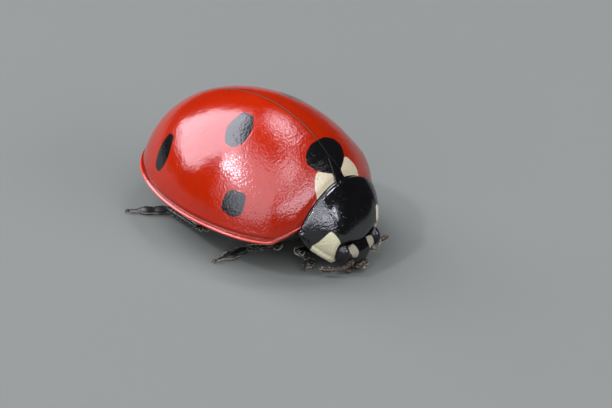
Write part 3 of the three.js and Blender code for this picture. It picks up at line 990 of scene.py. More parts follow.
# %% [markdown]
# ## Black armour
# The shield, the head, the underside, the scutellum and the legs share one kind of finish: a hard black
# skin with fine pits, which shows the light as a soft grey sheen. It is one function with a few
# choices, so that each part gets pits of its own size and a gloss of its own. The grain is a bump whose
# depth grows away from the middle line, because the sides of the shield are rougher than its back.

# %% The black armour
ARMOUR_BLACK = (0.001, 0.001, 0.001, 1)
ARMOUR_GREY = (0.003, 0.003, 0.003, 1)
ARMOUR_GRAIN_SIZE = 0.07
ARMOUR_PIT_WIDTH = 0.26
# Painted shade: how far the pits darken on the pale marks.
PIT_SHADE_ON_PALE = 0.3
SPECKLE_START = (0.8, 1.0)
SPECKLE_DEPTHS = (0.001, 0.024)
GLOSS_BAND = (0.4, 0.6)


def armour(name, pit_spacing=0.1, pit_depth=0.002, marks=(), left_marks=(), pale=CREAM,
           roughness=(0.14, 0.2), shine=0.5):
    """A black, finely pitted finish. Marks are pale and on both sides, and left marks on one only."""
    material, tree, shader, place = new_material(name)
    folded = mirrored_place(tree, place)
    grain = use(tree, GRAIN, Vector=place, Size=ARMOUR_GRAIN_SIZE)
    pits = use(tree, PITS, Vector=place, Spacing=pit_spacing, Width=ARMOUR_PIT_WIDTH)
    colour = blend(tree, grain["Mottle"], ARMOUR_BLACK, ARMOUR_GREY)
    # Painted shade in the pits of the pale marks.
    shade = blend(tree, sums(tree, "MULTIPLY", pits["Floor"], PIT_SHADE_ON_PALE), pale, PAINTED_SHADE_BROWN)
    for where, corners in [(folded, mark) for mark in marks] + [(place, mark) for mark in left_marks]:
        colour = blend(tree, patch(tree, where, corners), colour, shade)
    depth = ramp(tree, split(tree, folded)[0], *SPECKLE_START, *SPECKLE_DEPTHS)
    skin = bump(tree, sums(tree, "MULTIPLY", grain["Height"], depth), 1.0)
    normal = bump(tree, pits["Height"], pit_depth, skin)
    gloss = ramp(tree, grain["Height"], *GLOSS_BAND, *roughness)
    finish_material(tree, shader, colour, gloss, normal, shine)
    return material


print("grain", SPECKLE_DEPTHS[0], "mm deep on the middle line and", SPECKLE_DEPTHS[1], "mm at the sides")

# %% [markdown]
# ## Cream corners of the shield
# The shield's front corners carry a cream mark each. They are patches again, with each corner given by
# how far it lies along the shield and how far across. On this animal the left mark reaches further in,
# so a second patch, without the mirror, adds that piece.

# %% The neck shield
SHIELD_PATCH = [
    (0.68, 0.54), (0.71, 0.49), (0.85, 0.46), (1.0, 0.48),
    (1.06, 1.05), (0.5, 1.05), (0.5, 0.99), (0.57, 0.9),
]
LEFT_PATCH_REACH = [(0.7, 0.5), (0.7, 0.36), (0.95, 0.34), (1.0, 0.6)]
SHIELD_CREAM = (0.44, 0.42, 0.27, 1)
SHIELD_CORNERS = [shield_point(along, across) for along, across in SHIELD_PATCH]
LEFT_CORNERS = [shield_point(along, across) for along, across in LEFT_PATCH_REACH]
SHIELD_ARMOUR = armour("neck_shield_armour", marks=[SHIELD_CORNERS], left_marks=[LEFT_CORNERS],
                       pale=SHIELD_CREAM, roughness=(0.1, 0.16), shine=0.95)
finish_piece("neck_shield", neck_shield(), SHIELD_ARMOUR, ["pronotum"], wall=SHIELD_WALL)

# %% [markdown]
# ## Tubes for limbs and feelers
# Legs, feelers and palps are all rows of hard tubes, thick in the middle of a joint and pinched between
# joints. One helper bends a grid around a smooth path, with a list of radii that is blended from one
# end to the other. Radii that start and end at zero close the tube. Several tubes are gathered into one
# mesh where they belong to one piece.

# %% Tubes
UP = Vector((0, 0, 1))
HEADING_STEP = 0.01


def profile(values, part):
    """A smooth curve through values spread evenly from part = 0 to part = 1."""
    step = min(max(part, 0), 1) * (len(values) - 1)
    low = min(int(step), len(values) - 2)
    p = step - low
    before = values[max(low - 1, 0)]
    after = values[min(low + 2, len(values) - 1)]
    first, second = values[low], values[low + 1]
    bend = (second - before) * (p * (1 - p) ** 2) / 2 - (after - first) * (p * p * (1 - p)) / 2
    return first * ((1 - p) ** 2 * (1 + 2 * p)) + second * (p * p * (3 - 2 * p)) + bend


def heading_at(points, part):
    return (profile(points, part + HEADING_STEP) - profile(points, part - HEADING_STEP)).normalized()


def right_of(heading):
    """The level direction to the right of a line that runs along the heading."""
    return heading.cross(UP).normalized()


def tube_point(points, radius_at, turn, part, flatten=1.0):
    """A point on a tube: turn goes round it and part runs along it, both from 0 to 1."""
    heading = heading_at(points, min(max(part, HEADING_STEP), 1 - HEADING_STEP))
    side = right_of(heading)
    top = side.cross(heading) * flatten
    outward = side * math.cos(2 * math.pi * turn) + top * math.sin(2 * math.pi * turn)
    return profile(points, part) + outward * max(radius_at(part), 0)


def tube(points, radius_at, sides=16, rows=24, flatten=1.0):
    """A tube along points. The radius at a part of its length comes from a function."""
    points = [Vector(point) for point in points]
    return closed_grid(sides, rows, lambda u, v: tube_point(points, radius_at, u, v, flatten))


def gather(parts):
    """Several bmeshes as one."""
    whole = bmesh.new()
    for part in parts:
        mesh = bpy.data.meshes.new("part")
        part.to_mesh(mesh)
        part.free()
        whole.from_mesh(mesh)
        bpy.data.meshes.remove(mesh)
    return whole


def mirrored(point, side):
    return Vector((point[0] * side, point[1], point[2]))


print("a quarter of the way through 0, 1 and 0:", profile([0, 1, 0], 0.25))

# %% [markdown]
# ## The head
# The head is a hard capsule that hangs down in front of the shield, widest at the eyes and narrowing to
# the mouth. Rings around a slanting line, from the crown down to the lip, give that form: each ring has
# a half width, a forward bulge and a backward depth. A dent on each side seats a feeler.

# %% The head capsule
HEAD_TOP = Vector((0, -0.86, -0.22))
HEAD_BOTTOM = Vector((0, -0.98, -0.84))
HEAD_HALF_WIDTHS = [0.0, 0.5, 0.67, 0.7, 0.63, 0.5, 0.38, 0.3, 0.0]
HEAD_BULGES = [0.0, 0.05, 0.11, 0.15, 0.155, 0.135, 0.1, 0.06, 0.0]
HEAD_DEPTHS = [0.0, 0.1, 0.3, 0.42, 0.46, 0.42, 0.34, 0.2, 0.0]
EYE_CENTRE = (0.7, -0.8, -0.38)
EYE_RADII = (0.18, 0.26, 0.28)
FEELER_SOCKET = Vector((0.42, -1.0, -0.59))
SOCKET_RADIUS = 0.09
SOCKET_DEPTH = 0.06
HEAD_STRETCH = 1.12
HEAD_OVERHANG = 0.06
HEAD_SQUARENESS = 0.85
HEAD_COLUMNS = 80
HEAD_ROWS = 60


def head_point(down, turn):
    """Down runs from the crown, 0, to the lip, 1, and turn goes round from the front."""
    line = HEAD_BOTTOM - HEAD_TOP
    forward = Vector((0, line.z, -line.y)).normalized()
    reach = profile(HEAD_BULGES if math.cos(turn) > 0 else HEAD_DEPTHS, down)
    along = down * HEAD_STRETCH - HEAD_OVERHANG
    point = HEAD_TOP + line * along + forward * (math.cos(turn) * reach)
    flat = math.copysign(abs(math.sin(turn)) ** HEAD_SQUARENESS, math.sin(turn))
    return Vector((flat * profile(HEAD_HALF_WIDTHS, down), point.y, point.z))


def head_capsule():
    def at(u, v):
        point = head_point(v, 2 * math.pi * u)
        from_socket = Vector((abs(point.x), point.y, point.z)) - FEELER_SOCKET
        dent = SOCKET_DEPTH * ridge(from_socket.length, 0, SOCKET_RADIUS)
        return point + Vector((0, dent, 0))

    return closed_grid(HEAD_COLUMNS, HEAD_ROWS, at)


CHEEK_MARK = [
    (0.22, -0.97, -0.36),
    (0.3, -0.97, -0.19),
    (0.54, -0.97, -0.17),
    (0.54, -0.97, -0.4),
    (0.42, -0.97, -0.57),
    (0.28, -0.97, -0.55),
]
CHEEK_CREAM = (0.2, 0.19, 0.13, 1)
HEAD_ARMOUR = armour("head_armour", pit_spacing=0.06, marks=[CHEEK_MARK], pale=CHEEK_CREAM)
finish_piece("head_capsule", head_capsule(), HEAD_ARMOUR, ["head"])

# %% [markdown]
# ## Compound eyes
# An insect's eye is hundreds of small lenses in a honeycomb. A ball made from an icosphere has nearly
# even spacing, with six neighbours around almost every vertex. Cutting each edge once and sinking the
# new vertices a little leaves the old ones standing as lenses. The colour is a dark, slightly purple
# grey, a little duller than the armour.

# %% The eyes
LENS_LEVEL = 5
LENS_SINK = 0.035
EYE_DARK = (0.002, 0.002, 0.002, 1)
EYE_PURPLE = (0.008, 0.007, 0.009, 1)
EYE_GRAIN_SIZE = 0.05
EYE_GRAIN_DEPTH = 0.001
EYE_ROUGHNESS = (0.18, 0.3)
EYE_SHINE = 0.4


def eye(side):
    bm = bmesh.new()
    bmesh.ops.create_icosphere(bm, subdivisions=LENS_LEVEL, radius=1)
    lenses = set(bm.verts)
    bmesh.ops.subdivide_edges(bm, edges=bm.edges, cuts=1, use_grid_fill=True)
    for vert in bm.verts:
        vert.co = vert.co.normalized() * (1 if vert in lenses else 1 - LENS_SINK)
    bmesh.ops.scale(bm, verts=bm.verts, vec=EYE_RADII)
    bmesh.ops.translate(bm, verts=bm.verts, vec=mirrored(EYE_CENTRE, side))
    return bm


def eye_material():
    material, tree, shader, place = new_material("eye_lenses")
    grain = use(tree, GRAIN, Vector=place, Size=EYE_GRAIN_SIZE)["Height"]
    colour = mottled(tree, grain, EYE_DARK, EYE_PURPLE)
    roughness = ramp(tree, grain, *ROUGHNESS_BAND, *EYE_ROUGHNESS)
    finish_material(tree, shader, colour, roughness, bump(tree, grain, EYE_GRAIN_DEPTH), EYE_SHINE)
    return material


EYE_FINISH = eye_material()
for side_name, side in SIDES.items():
    finish_piece("eye_lenses_" + side_name, eye(side), EYE_FINISH, ["eye_" + side_name])

# %% [markdown]
# ## Horn
# The feelers, the mouth parts, the claws and the pale painted highlights on the legs are thinner than
# the armour and brown or cream instead of black. They share a finish of two tones in small patches,
# with very fine pits, which are darkened with painted shade. As with the armour, a function makes it
# once and each part chooses its own two tones.

# %% Horn finishes
AMBER = (0.05, 0.028, 0.011, 1)
DARK_AMBER = (0.004, 0.003, 0.002, 1)
HORN_BROWN = (0.035, 0.02, 0.011, 1)
HORN_GRAIN_SIZE = 0.05
HORN_PIT_SPACING = 0.03
HORN_PIT_WIDTH = 0.4
# Painted shade: how far the fine pits darken the horn.
HORN_PIT_SHADE = 0.3
HORN_RELIEF = 0.002


def horn_material(name, light, dark, roughness=(0.3, 0.45)):
    material, tree, shader, place = new_material(name)
    grain = use(tree, GRAIN, Vector=place, Size=HORN_GRAIN_SIZE)["Height"]
    fine = use(tree, PITS, Vector=place, Spacing=HORN_PIT_SPACING, Width=HORN_PIT_WIDTH)
    colour = mottled(tree, grain, light, dark)
    # Painted shade in the fine pits.
    colour = blend(tree, sums(tree, "MULTIPLY", fine["Floor"], HORN_PIT_SHADE), colour, dark)
    normal = bump(tree, fine["Height"], HORN_RELIEF, bump(tree, grain, HORN_RELIEF))
    finish_material(tree, shader, colour, ramp(tree, grain, *ROUGHNESS_BAND, *roughness), normal)
    return material


FEELER_HORN = horn_material("feeler_horn", AMBER, DARK_AMBER)
LIP_HORN = horn_material("lip_horn", HORN_BROWN, DARK_AMBER, roughness=(0.25, 0.4))
PALP_HORN = horn_material("palp_horn", AMBER, HORN_BROWN)
print("horn finishes:", FEELER_HORN.name, LIP_HORN.name, PALP_HORN.name)

# %% [markdown]
# ## Feelers
# A ladybird's feeler has eleven joints: a stout first one, slim ones along the stalk, and three wide
# ones that make the club. Eleven separate tubes would need as many fits. One tube is enough if its
# radius is an outline for the whole feeler times a pinch wherever two joints meet.

# %% The feelers
FEELER_PATHS = {
    "left": [(0.42, -1.0, -0.58), (0.64, -1.03, -0.68), (0.98, -0.9, -0.6), (1.36, -0.92, -0.62)],
    "right": [(-0.42, -1.0, -0.6), (-0.62, -0.96, -0.77), (-0.9, -0.74, -0.84), (-1.14, -0.46, -0.85)],
}
FEELER_JOINTS = 11
FEELER_OUTLINE = [0.042, 0.05, 0.036, 0.027, 0.024, 0.024, 0.027, 0.036, 0.056, 0.064, 0.054, 0.024]
FEELER_PINCH = {"depth": 0.35, "width": 0.16}
FEELER_ROOT_END = 0.01
FEELER_TIP_END = 0.015
FEELER_SIDES = 14
FEELER_ROWS = 132


def pinched(part, joints, depth, width):
    """1 along every joint, and less where two joints meet."""
    joint = (part * joints) % 1
    return 1 - depth * (ridge(joint, 0, width) + ridge(joint, 1, width))


def feeler_radius(part):
    ends = min(1, part / FEELER_ROOT_END, (1 - part) / FEELER_TIP_END)
    thickness = profile(FEELER_OUTLINE, part) * pinched(part, FEELER_JOINTS, **FEELER_PINCH)
    return thickness * math.sqrt(max(ends, 0))


for side_name, path in FEELER_PATHS.items():
    feeler = tube(path, feeler_radius, sides=FEELER_SIDES, rows=FEELER_ROWS)
    finish_piece("feeler_joints_" + side_name, feeler, FEELER_HORN, ["feeler_" + side_name])

# %% [markdown]
# ## The mouth
# Under the face comes the lip, a small flat bar that curves from side to side. The dark jaws peep out
# below it, and the two palps reach down beside them. A ladybird's palp ends in a wide joint cut off
# like an axe, which its whole family is known for. All of them are short tubes, closed at both ends,
# and flattening one turns it into a lip or an axe.

# %% Lip, jaws and palps
LIP = [
    (-0.27, -0.98, -0.86), (-0.13, -1.05, -0.9), (0, -1.07, -0.91),
    (0.13, -1.05, -0.9), (0.27, -0.98, -0.86),
]
LIP_RADIUS = 0.075
LIP_FLATTEN = 0.55
LIP_ENDS = 0.1
JAW = [(0.24, -0.88, -0.88), (0.2, -0.97, -0.96), (0.07, -1.0, -0.99)]
JAW_RADIUS = 0.06
JAW_TAPER = 0.6
JAW_ENDS = 0.05
PALP = [(0.24, -0.74, -0.86), (0.3, -0.8, -0.93), (0.34, -0.84, -0.96)]
PALP_JOINTS = 3
PALP_PINCH = {"depth": 0.3, "width": 0.15}
PALP_RADIUS = 0.045
PALP_ENDS = 0.05
AXE = [(0.33, -0.83, -0.955), (0.38, -0.88, -0.985), (0.43, -0.93, -1.0)]
AXE_OUTLINE = [0.02, 0.06, 0.085, 0.095, 0.09]
AXE_FLATTEN = 0.45
AXE_ENDS = 0.04


def bead(length_share, radius=1.0):
    """A radius that is even along the middle and rounded at both ends."""
    def at(part):
        opening = min(1, part / length_share) * min(1, (1 - part) / length_share)
        return radius * math.sqrt(max(0, opening))
    return at


def jaw_radius(part):
    return JAW_RADIUS * (1 - part) ** JAW_TAPER * bead(JAW_ENDS)(part)


def palp_radius(part):
    return bead(PALP_ENDS, PALP_RADIUS)(part) * pinched(part, PALP_JOINTS, **PALP_PINCH)


def axe_radius(part):
    return profile(AXE_OUTLINE, part) * bead(AXE_ENDS)(part)


lip = tube(LIP, bead(LIP_ENDS, LIP_RADIUS), sides=16, rows=30, flatten=LIP_FLATTEN)
finish_piece("lip", lip, LIP_HORN, ["labrum"])
for side_name, side in SIDES.items():
    jaw = tube([mirrored(point, side) for point in JAW], jaw_radius)
    finish_piece("jaw_" + side_name, jaw, LIP_HORN)
    stalk = tube([mirrored(point, side) for point in PALP], palp_radius, sides=12, rows=36)
    axe = tube([mirrored(point, side) for point in AXE], axe_radius, rows=20, flatten=AXE_FLATTEN)
    finish_piece("palp_joints_" + side_name, gather([stalk, axe]), PALP_HORN, ["palp_" + side_name])

# %% [markdown]
# ## The body under the wing cases
# Below the shells the body is black and made of hard plates: the thorax, which carries the middle and
# hind legs, and the abdomen, whose plates overlap backwards like tiles. Only the underside shows. Each
# part is a closed skin of rings: the upper half of a ring lies just under the shell, and the lower half
# is the rounded belly. The first and last rows draw in to close the ends. Grooves across the thorax
# mark its plates, and each plate of the abdomen rises to its hind edge and then steps down.

# %% Rings of the trunk
BELLY_DEPTH = 0.35
BELLY_START_Y = 1.5
BELLY_POWER = 2.4
WAIST_Y = 2.6
TRUNK_DEPTH = 0.48
BODY_COLUMNS = 96
PLATE_EDGES = [3.2, 3.75, 4.25, 4.7, 5.1]
PLATE_STEP = 0.035
PLATE_LIP = 0.06
THORAX_GROOVES = [0.62, 1.5]
GROOVE = {"height": -0.035, "centre": 0.0, "width": 0.035}
CLOSING_ROWS = 2
TRUNK_CORE = Vector((0, 0, 0.4))


def belly_depth(y):
    return BELLY_DEPTH * fullness(max(0, y - BELLY_START_Y), CASE_LENGTH - BELLY_START_Y, BELLY_POWER)


def trunk_point(y, turn, swell=0.0):
    """A point of the ring at y. A turn of 0 to 0.5 goes over the top, and 0.5 to 1 along the belly."""
    if turn < 0.5:
        across = 1 - 4 * turn
        point = dome_point(y, abs(across) * rim_angle(y), TRUNK_DEPTH)
        return Vector((math.copysign(max(point.x, 0), across), point.y, point.z))
    edge = dome_point(y, rim_angle(y), TRUNK_DEPTH)
    angle = math.pi * (2 * turn - 1.5)
    drop = edge.z + belly_depth(y) + swell
    width = max(edge.x, 0) + swell * 0.5
    return Vector((width * math.sin(angle), edge.y, edge.z - drop * math.cos(angle)))


def plate_swell(y):
    """How far the belly stands out at y, with each plate of the abdomen highest near its hind edge."""
    edges = [WAIST_Y] + PLATE_EDGES + [CASE_LENGTH]
    for start, end in zip(edges, edges[1:]):
        if start <= y <= end:
            part = (y - start) / (end - start)
            return PLATE_STEP * part * min(1, (1 - part) / PLATE_LIP)
    return 0.0


def thorax_swell(y):
    return sum(relief(abs(y - groove), **GROOVE) for groove in THORAX_GROOVES)


def along_body(v, rows):
    """How far a row lies along a body, and how open its ring is, from 0 at the very ends to 1."""
    along = min(max((v * rows - CLOSING_ROWS) / (rows - 2 * CLOSING_ROWS), 0), 1)
    opening = min(1, v * rows / CLOSING_ROWS, (1 - v) * rows / CLOSING_ROWS)
    return along, opening


def trunk(start, end, rows, swell_at):
    def at(u, v):
        along, opening = along_body(v, rows)
        y = mix(start, end, along)
        point = trunk_point(y, u % 1, swell_at(y))
        hub = Vector((0, point.y, max(point.z, 0.0) * 0.5 + TRUNK_CORE.z * 0.5))
        return hub + (point - hub) * opening

    return closed_grid(BODY_COLUMNS, rows, at)


print("belly at the waist:", round(belly_depth(WAIST_Y), 2), "mm below the rim")

# %% [markdown]
# ## The plates of the underside
# The underside wears the black armour with a duller gloss, and carries a cream plate on each side, in
# front of the middle leg's hip. The thorax and the abdomen are two separate pieces with a narrow gap
# between them, so that the groove at the waist is a real one.

# %% Thorax and abdomen
SIDE_PLATE = [(2.3, 0.62, 0.1), (2.35, 1.15, 0.1), (2.1, 1.2, -0.28), (1.7, 0.95, -0.3), (1.75, 0.62, -0.25)]
THORAX_START = 0.04
THORAX_ROWS = 70
ABDOMEN_GAP = 0.03
ABDOMEN_END = 5.8
ABDOMEN_ROWS = 140
BELLY_ARMOUR = armour("belly_armour", pit_spacing=0.09, pit_depth=0.008, marks=[SIDE_PLATE],
                      roughness=(0.35, 0.5))
thorax = trunk(THORAX_START, WAIST_Y, THORAX_ROWS, thorax_swell)
abdomen = trunk(WAIST_Y + ABDOMEN_GAP, ABDOMEN_END, ABDOMEN_ROWS, plate_swell)
finish_piece("thorax_plates", thorax, BELLY_ARMOUR, ["thorax"])
finish_piece("abdomen_plates", abdomen, BELLY_ARMOUR, ["abdomen"])

# %% [markdown]
# ## The chest and the scutellum
# The chest is the belly of the neck shield and carries the front legs. It is a body of rings like the
# thorax, with the shield's own curves for its upper half. The scutellum is the small black triangle
# that fills the front of the seam. Its edges lie a little lower than the dome and its middle a little
# higher.

# %% Chest and scutellum
CHEST_DEPTHS = (0.7, 0.14)
CHEST_WALLS = (0.46, 0.22)
CHEST_CORE_Z = -0.1
CHEST_ROWS = 50
SCUTELLUM_RISE = 0.01
SCUTELLUM_SINK = 0.004
SCUTELLUM_BASE = -0.06
SCUTELLUM_SLOPE = 1.5
SCUTELLUM_TIP = 0.93
SCUTELLUM_EDGE_POWER = 4
SCUTELLUM_COLUMNS = 20
SCUTELLUM_ROWS = 24
SCUTELLUM_WALL = 0.12
SCUTELLUM_CORE = (0, 1, 0)


def chest_point(along, turn):
    wall = mix(*CHEST_WALLS, along)
    if turn < 0.5:
        return shield_point(along, 1 - 4 * turn, wall)
    edge = shield_point(along, 1, wall)
    angle = math.pi * (2 * turn - 1.5)
    drop = mix(*CHEST_DEPTHS, along)
    return Vector((edge.x * math.sin(angle), edge.y, edge.z - drop * math.cos(angle)))


def chest():
    def at(u, v):
        along, opening = along_body(v, CHEST_ROWS)
        point = chest_point(along, u % 1)
        hub = Vector((0, point.y, CHEST_CORE_Z))
        return hub + (point - hub) * opening

    return closed_grid(BODY_COLUMNS, CHEST_ROWS, at)


def scutellum():
    def at(u, v):
        y = mix(SCUTELLUM_BASE, SCUTELLUM_LENGTH * SCUTELLUM_TIP, v)
        across = 2 * u - 1
        x = SCUTELLUM_HALF_WIDTH * (1 - y / SCUTELLUM_LENGTH) * across
        on_shell = max(y, 0)
        angle = math.asin(min(1, (abs(x) / half_width(on_shell))) ** (ARCH_POWER / 2))
        fade = (1 - across ** SCUTELLUM_EDGE_POWER) * (1 - v ** SCUTELLUM_EDGE_POWER)
        point = dome_point(on_shell, angle, SCUTELLUM_SINK - SCUTELLUM_RISE * fade)
        return Vector((x, point.y + min(y, 0), point.z + SCUTELLUM_SLOPE * min(y, 0)))

    bm = bent_grid(SCUTELLUM_COLUMNS, SCUTELLUM_ROWS, at)
    face_away_from(bm, SCUTELLUM_CORE)
    return bm


finish_piece("chest_plate", chest(), BELLY_ARMOUR, ["chest"])
SCUTELLUM_ARMOUR = armour("scutellum_armour")
finish_piece("scutellum_plate", scutellum(), SCUTELLUM_ARMOUR, ["scutellum"],
             wall=SCUTELLUM_WALL)

# %% [markdown]
# ## Where the six legs lie
# A ladybird tucks its legs in. Each has a short hip, a flat thigh, a shank with two spurs, and a foot of
# three joints that ends in two hooked claws. The places of hip, knee, ankle and toe are the CAD model's
# own. The legs are set out once for the left and mirrored for the right. The heights along the foot are
# given above the floor, so that every foot rests on it.

# %% Leg paths
LEGS = {
    "front": [(0.4, -0.02, -0.82), (1.36, 0.19, -0.45), (0.74, 0.1, -0.9), (1.1, 0.03, -0.94)],
    "middle": [(0.75, 1.25, -0.74), (1.42, 0.76, -0.55), (1.5, 1.64, -0.88), (2.58, 1.92, -0.94)],
    "hind": [(0.75, 2.45, -0.72), (2.02, 2.88, -0.62), (1.3, 4.42, -0.88), (2.08, 5.2, -0.94)],
}
FOOT_PARTS = (0, 0.33, 0.65, 0.93)
FOOT_HEIGHTS = (0.15, 0.11, 0.095, 0.075)
HIP_TOP = -0.22
HIP_INSET = 0.8
HIP_BEND = 0.6
LEG_BOW = 0.03


def leg_paths(place, side):
    """The lines that run through the middle of a leg's hip, thigh, shank and foot."""
    hip, knee, ankle, toe = (mirrored(joint, side) for joint in place)
    hip_top = Vector((hip.x * HIP_INSET, hip.y, HIP_TOP))
    bow = right_of(ankle - knee) * LEG_BOW * side
    stretch = [mix(ankle, toe, part) for part in FOOT_PARTS]
    for point, height in zip(stretch, FOOT_HEIGHTS):
        point.z = FLOOR_Z + height
    return {
        "hip": [hip_top, mix(hip_top, hip, HIP_BEND), hip],
        "thigh": [hip, mix(hip, knee, 0.5) + UP * LEG_BOW, knee],
        "shank": [knee, mix(knee, ankle, 0.5) + bow, mix(ankle, stretch[0], 0.5)],
        "foot": stretch,
    }


print("legs to a side:", len(LEGS))

# %% [markdown]
# ## Thigh, shank and foot
# All the joints of a leg are tubes. The hip is a plain, round one, and the others are flattened a
# little from above and follow an outline of radii along their length. The shank ends in two short
# spurs. The foot's joints are one tube whose outline pinches between them, and a second tube, low
# enough to touch the floor, is the sole.

# %% Thigh, shank and foot
HIP_RADIUS = 0.2
HIP_ENDS = 0.3
LIMB_ENDS = 0.06
THIGH_OUTLINE = [0.06, 0.13, 0.175, 0.18, 0.165, 0.13, 0.09, 0.05]
SHANK_OUTLINE = [0.06, 0.078, 0.084, 0.09, 0.1, 0.112, 0.115, 0.075]
FOOT_OUTLINE = [0.1, 0.13, 0.135, 0.115, 0.135, 0.14, 0.09, 0.05, 0.045, 0.045]
THIGH_FLATTEN = 0.72
SHANK_FLATTEN = 0.7
FOOT_FLATTEN = 0.65
SOLE_RADIUS = 0.058
SOLE_ENDS = 0.25
SPUR_LENGTH = 0.11
SPUR_RADIUS = 0.022
SPUR_LEAN = 0.5
SPIKE_TAPER = 0.8


def outline(values):
    """A radius that follows a list of values and closes round at both ends."""
    return lambda part: profile(values, part) * bead(LIMB_ENDS)(part)


def spike(points, radius, rows):
    return tube(points, lambda part: radius * (1 - part) ** SPIKE_TAPER, sides=8, rows=rows)


def thigh(paths):
    hip = tube(paths["hip"], bead(HIP_ENDS, HIP_RADIUS), sides=20, rows=16)
    upper = tube(paths["thigh"], outline(THIGH_OUTLINE), sides=24, rows=40, flatten=THIGH_FLATTEN)
    return gather([hip, upper])


def shank(paths):
    parts = [tube(paths["shank"], outline(SHANK_OUTLINE), sides=20, rows=40, flatten=SHANK_FLATTEN)]
    end = paths["shank"][-1]
    heading = heading_at(paths["shank"], 1)
    for lean in (-SPUR_LEAN, SPUR_LEAN):
        tip = end + (heading + right_of(heading) * lean).normalized() * SPUR_LENGTH
        parts.append(spike([end, mix(end, tip, 0.5), tip], SPUR_RADIUS, rows=10))
    return gather(parts)


def foot(paths):
    first, second, third = paths["foot"][:3]
    sole = [mix(first, second, 0.5), second.copy(), third.copy()]
    for point in sole:
        point.z = FLOOR_Z + SOLE_RADIUS * FOOT_FLATTEN
    return gather([
        tube(paths["foot"], outline(FOOT_OUTLINE), sides=18, rows=50, flatten=FOOT_FLATTEN),
        tube(sole, bead(SOLE_ENDS, SOLE_RADIUS), sides=16, rows=20, flatten=FOOT_FLATTEN),
    ])


print("thickest thigh:", 2 * max(THIGH_OUTLINE), "mm wide")

# %% [markdown]
# ## Claws and painted glints
# Each claw is a hook with a tooth at its base, and its tip stays a hair above the floor. Two pale rings
# under the outer half of the thigh and a pale line along the upper edge of the shank are painted
# highlights, which stand for glints on the glossy black leg. Each glint ring is a part of a ring that
# thins out to both ends, made by bending a grid twice: once around the leg and once around its own
# thickness.

# %% Claws and painted glints
CLAW_REACH = 0.12
CLAW_RADIUS = 0.026
CLAW_TAPER = 0.85
CLAW_ENDS = 0.06
CLAW_SPREAD = 0.42
CLAW_ROOT = 0.03
CLAW_BEND = 0.6
CLAW_ARCH = 0.02
CLAW_CLEARANCE = 0.005
TOOTH_REACH = 0.45
TOOTH_DROP = 0.045
TOOTH_BEND = 0.6
TOOTH_RADIUS = 0.02
# The pale rings and the shank line are painted highlights, standing for glints on the black leg.
GLINT_SPAN = math.radians(230)
GLINT_COLUMNS = 28
GLINT_ROWS = 10
KNEE_GLINT = {"part": 0.92, "radius": 0.11, "thickness": 0.013}
THIGH_GLINT = {"part": 0.66, "radius": 0.15, "thickness": 0.012}
KNEE_END = 0.98
SHANK_GLINT_PLACES = (0.08, 0.36, 0.64, 0.92)
SHANK_GLINT_RADIUS = 0.022
SHANK_GLINT_ENDS = 0.1
SHANK_GLINT_TURN = 0.25


def claw_radius(part):
    return CLAW_RADIUS * (1 - CLAW_TAPER * part) * bead(CLAW_ENDS)(part)


def claws(paths):
    toe = paths["foot"][-1]
    heading = heading_at(paths["foot"], 1)
    heading.z = 0
    hooks = []
    for lean in (-CLAW_SPREAD, CLAW_SPREAD):
        ahead = (heading.normalized() + right_of(heading) * lean).normalized()
        tip = toe + ahead * CLAW_REACH
        tip.z = FLOOR_Z + CLAW_CLEARANCE
        knuckle = toe + ahead * (CLAW_BEND * CLAW_REACH) + UP * CLAW_ARCH
        hooks.append(tube([toe - ahead * CLAW_ROOT, knuckle, tip], claw_radius, sides=10, rows=20))
        tooth = toe + ahead * (TOOTH_REACH * CLAW_REACH) - UP * TOOTH_DROP
        hooks.append(spike([toe, mix(toe, tooth, TOOTH_BEND), tooth], TOOTH_RADIUS, rows=8))
    return gather(hooks)


def glint_ring(path, part, radius, thickness):
    """A painted highlight under the outer half of a thigh: a pale part of a ring, thin at both ends."""
    axis = heading_at(path, KNEE_END)
    middle = mix(path[1], path[2], part)
    side = right_of(axis)
    top = side.cross(axis).normalized()

    def at(u, v):
        turn = (u - 0.5) * GLINT_SPAN - math.pi / 2
        outward = side * math.cos(turn) + top * math.sin(turn)
        around = outward * math.cos(2 * math.pi * v) + axis * math.sin(2 * math.pi * v)
        return middle + outward * radius + around * thickness * math.sin(math.pi * u) ** 0.5

    return closed_grid(GLINT_COLUMNS, GLINT_ROWS, at)


def painted_glints(paths):
    """Painted highlights: pale rings under the thigh and a pale line on the upper edge of the shank."""
    shank_radius = outline(SHANK_OUTLINE)
    edge = [tube_point(paths["shank"], shank_radius, SHANK_GLINT_TURN, part, SHANK_FLATTEN)
            for part in SHANK_GLINT_PLACES]
    return gather([
        glint_ring(paths["thigh"], **KNEE_GLINT),
        glint_ring(paths["thigh"], **THIGH_GLINT),
        tube(edge, bead(SHANK_GLINT_ENDS, SHANK_GLINT_RADIUS), sides=8, rows=30),
    ])


print("a fold goes", round(math.degrees(GLINT_SPAN)), "degrees round the thigh")

# %% [markdown]
# ## Leg finishes
# The thighs and shanks are black armour, duller than the shield. The feet are nearly black, and their
# lower side fades into the pale brush of the sole, by height above the floor. A little noise in that
# height keeps the border from being a straight line. The claws are brown horn, and the pale rings and
# the shank line, which are painted highlights, a cream one.

# %% Leg finishes
SOLE_PALE = (0.5, 0.47, 0.36, 1)
SOLE_TOP = 0.095
SOLE_FADE = (0.02, 0.03)
SOLE_UNEVENNESS = 0.03
FOOT_BROWN = (0.006, 0.005, 0.004, 1)
FOOT_BLACK = (0.002, 0.002, 0.002, 1)
FOOT_GRAIN_SIZE = 0.03
FOOT_GRAIN_DEPTH = 0.006
FOOT_ROUGHNESS = (0.35, 0.55)
# Cream horn of the painted highlights on the legs.
GLINT_PALE = (0.4, 0.38, 0.3, 1)
GLINT_PALE_DARK = (0.06, 0.05, 0.035, 1)


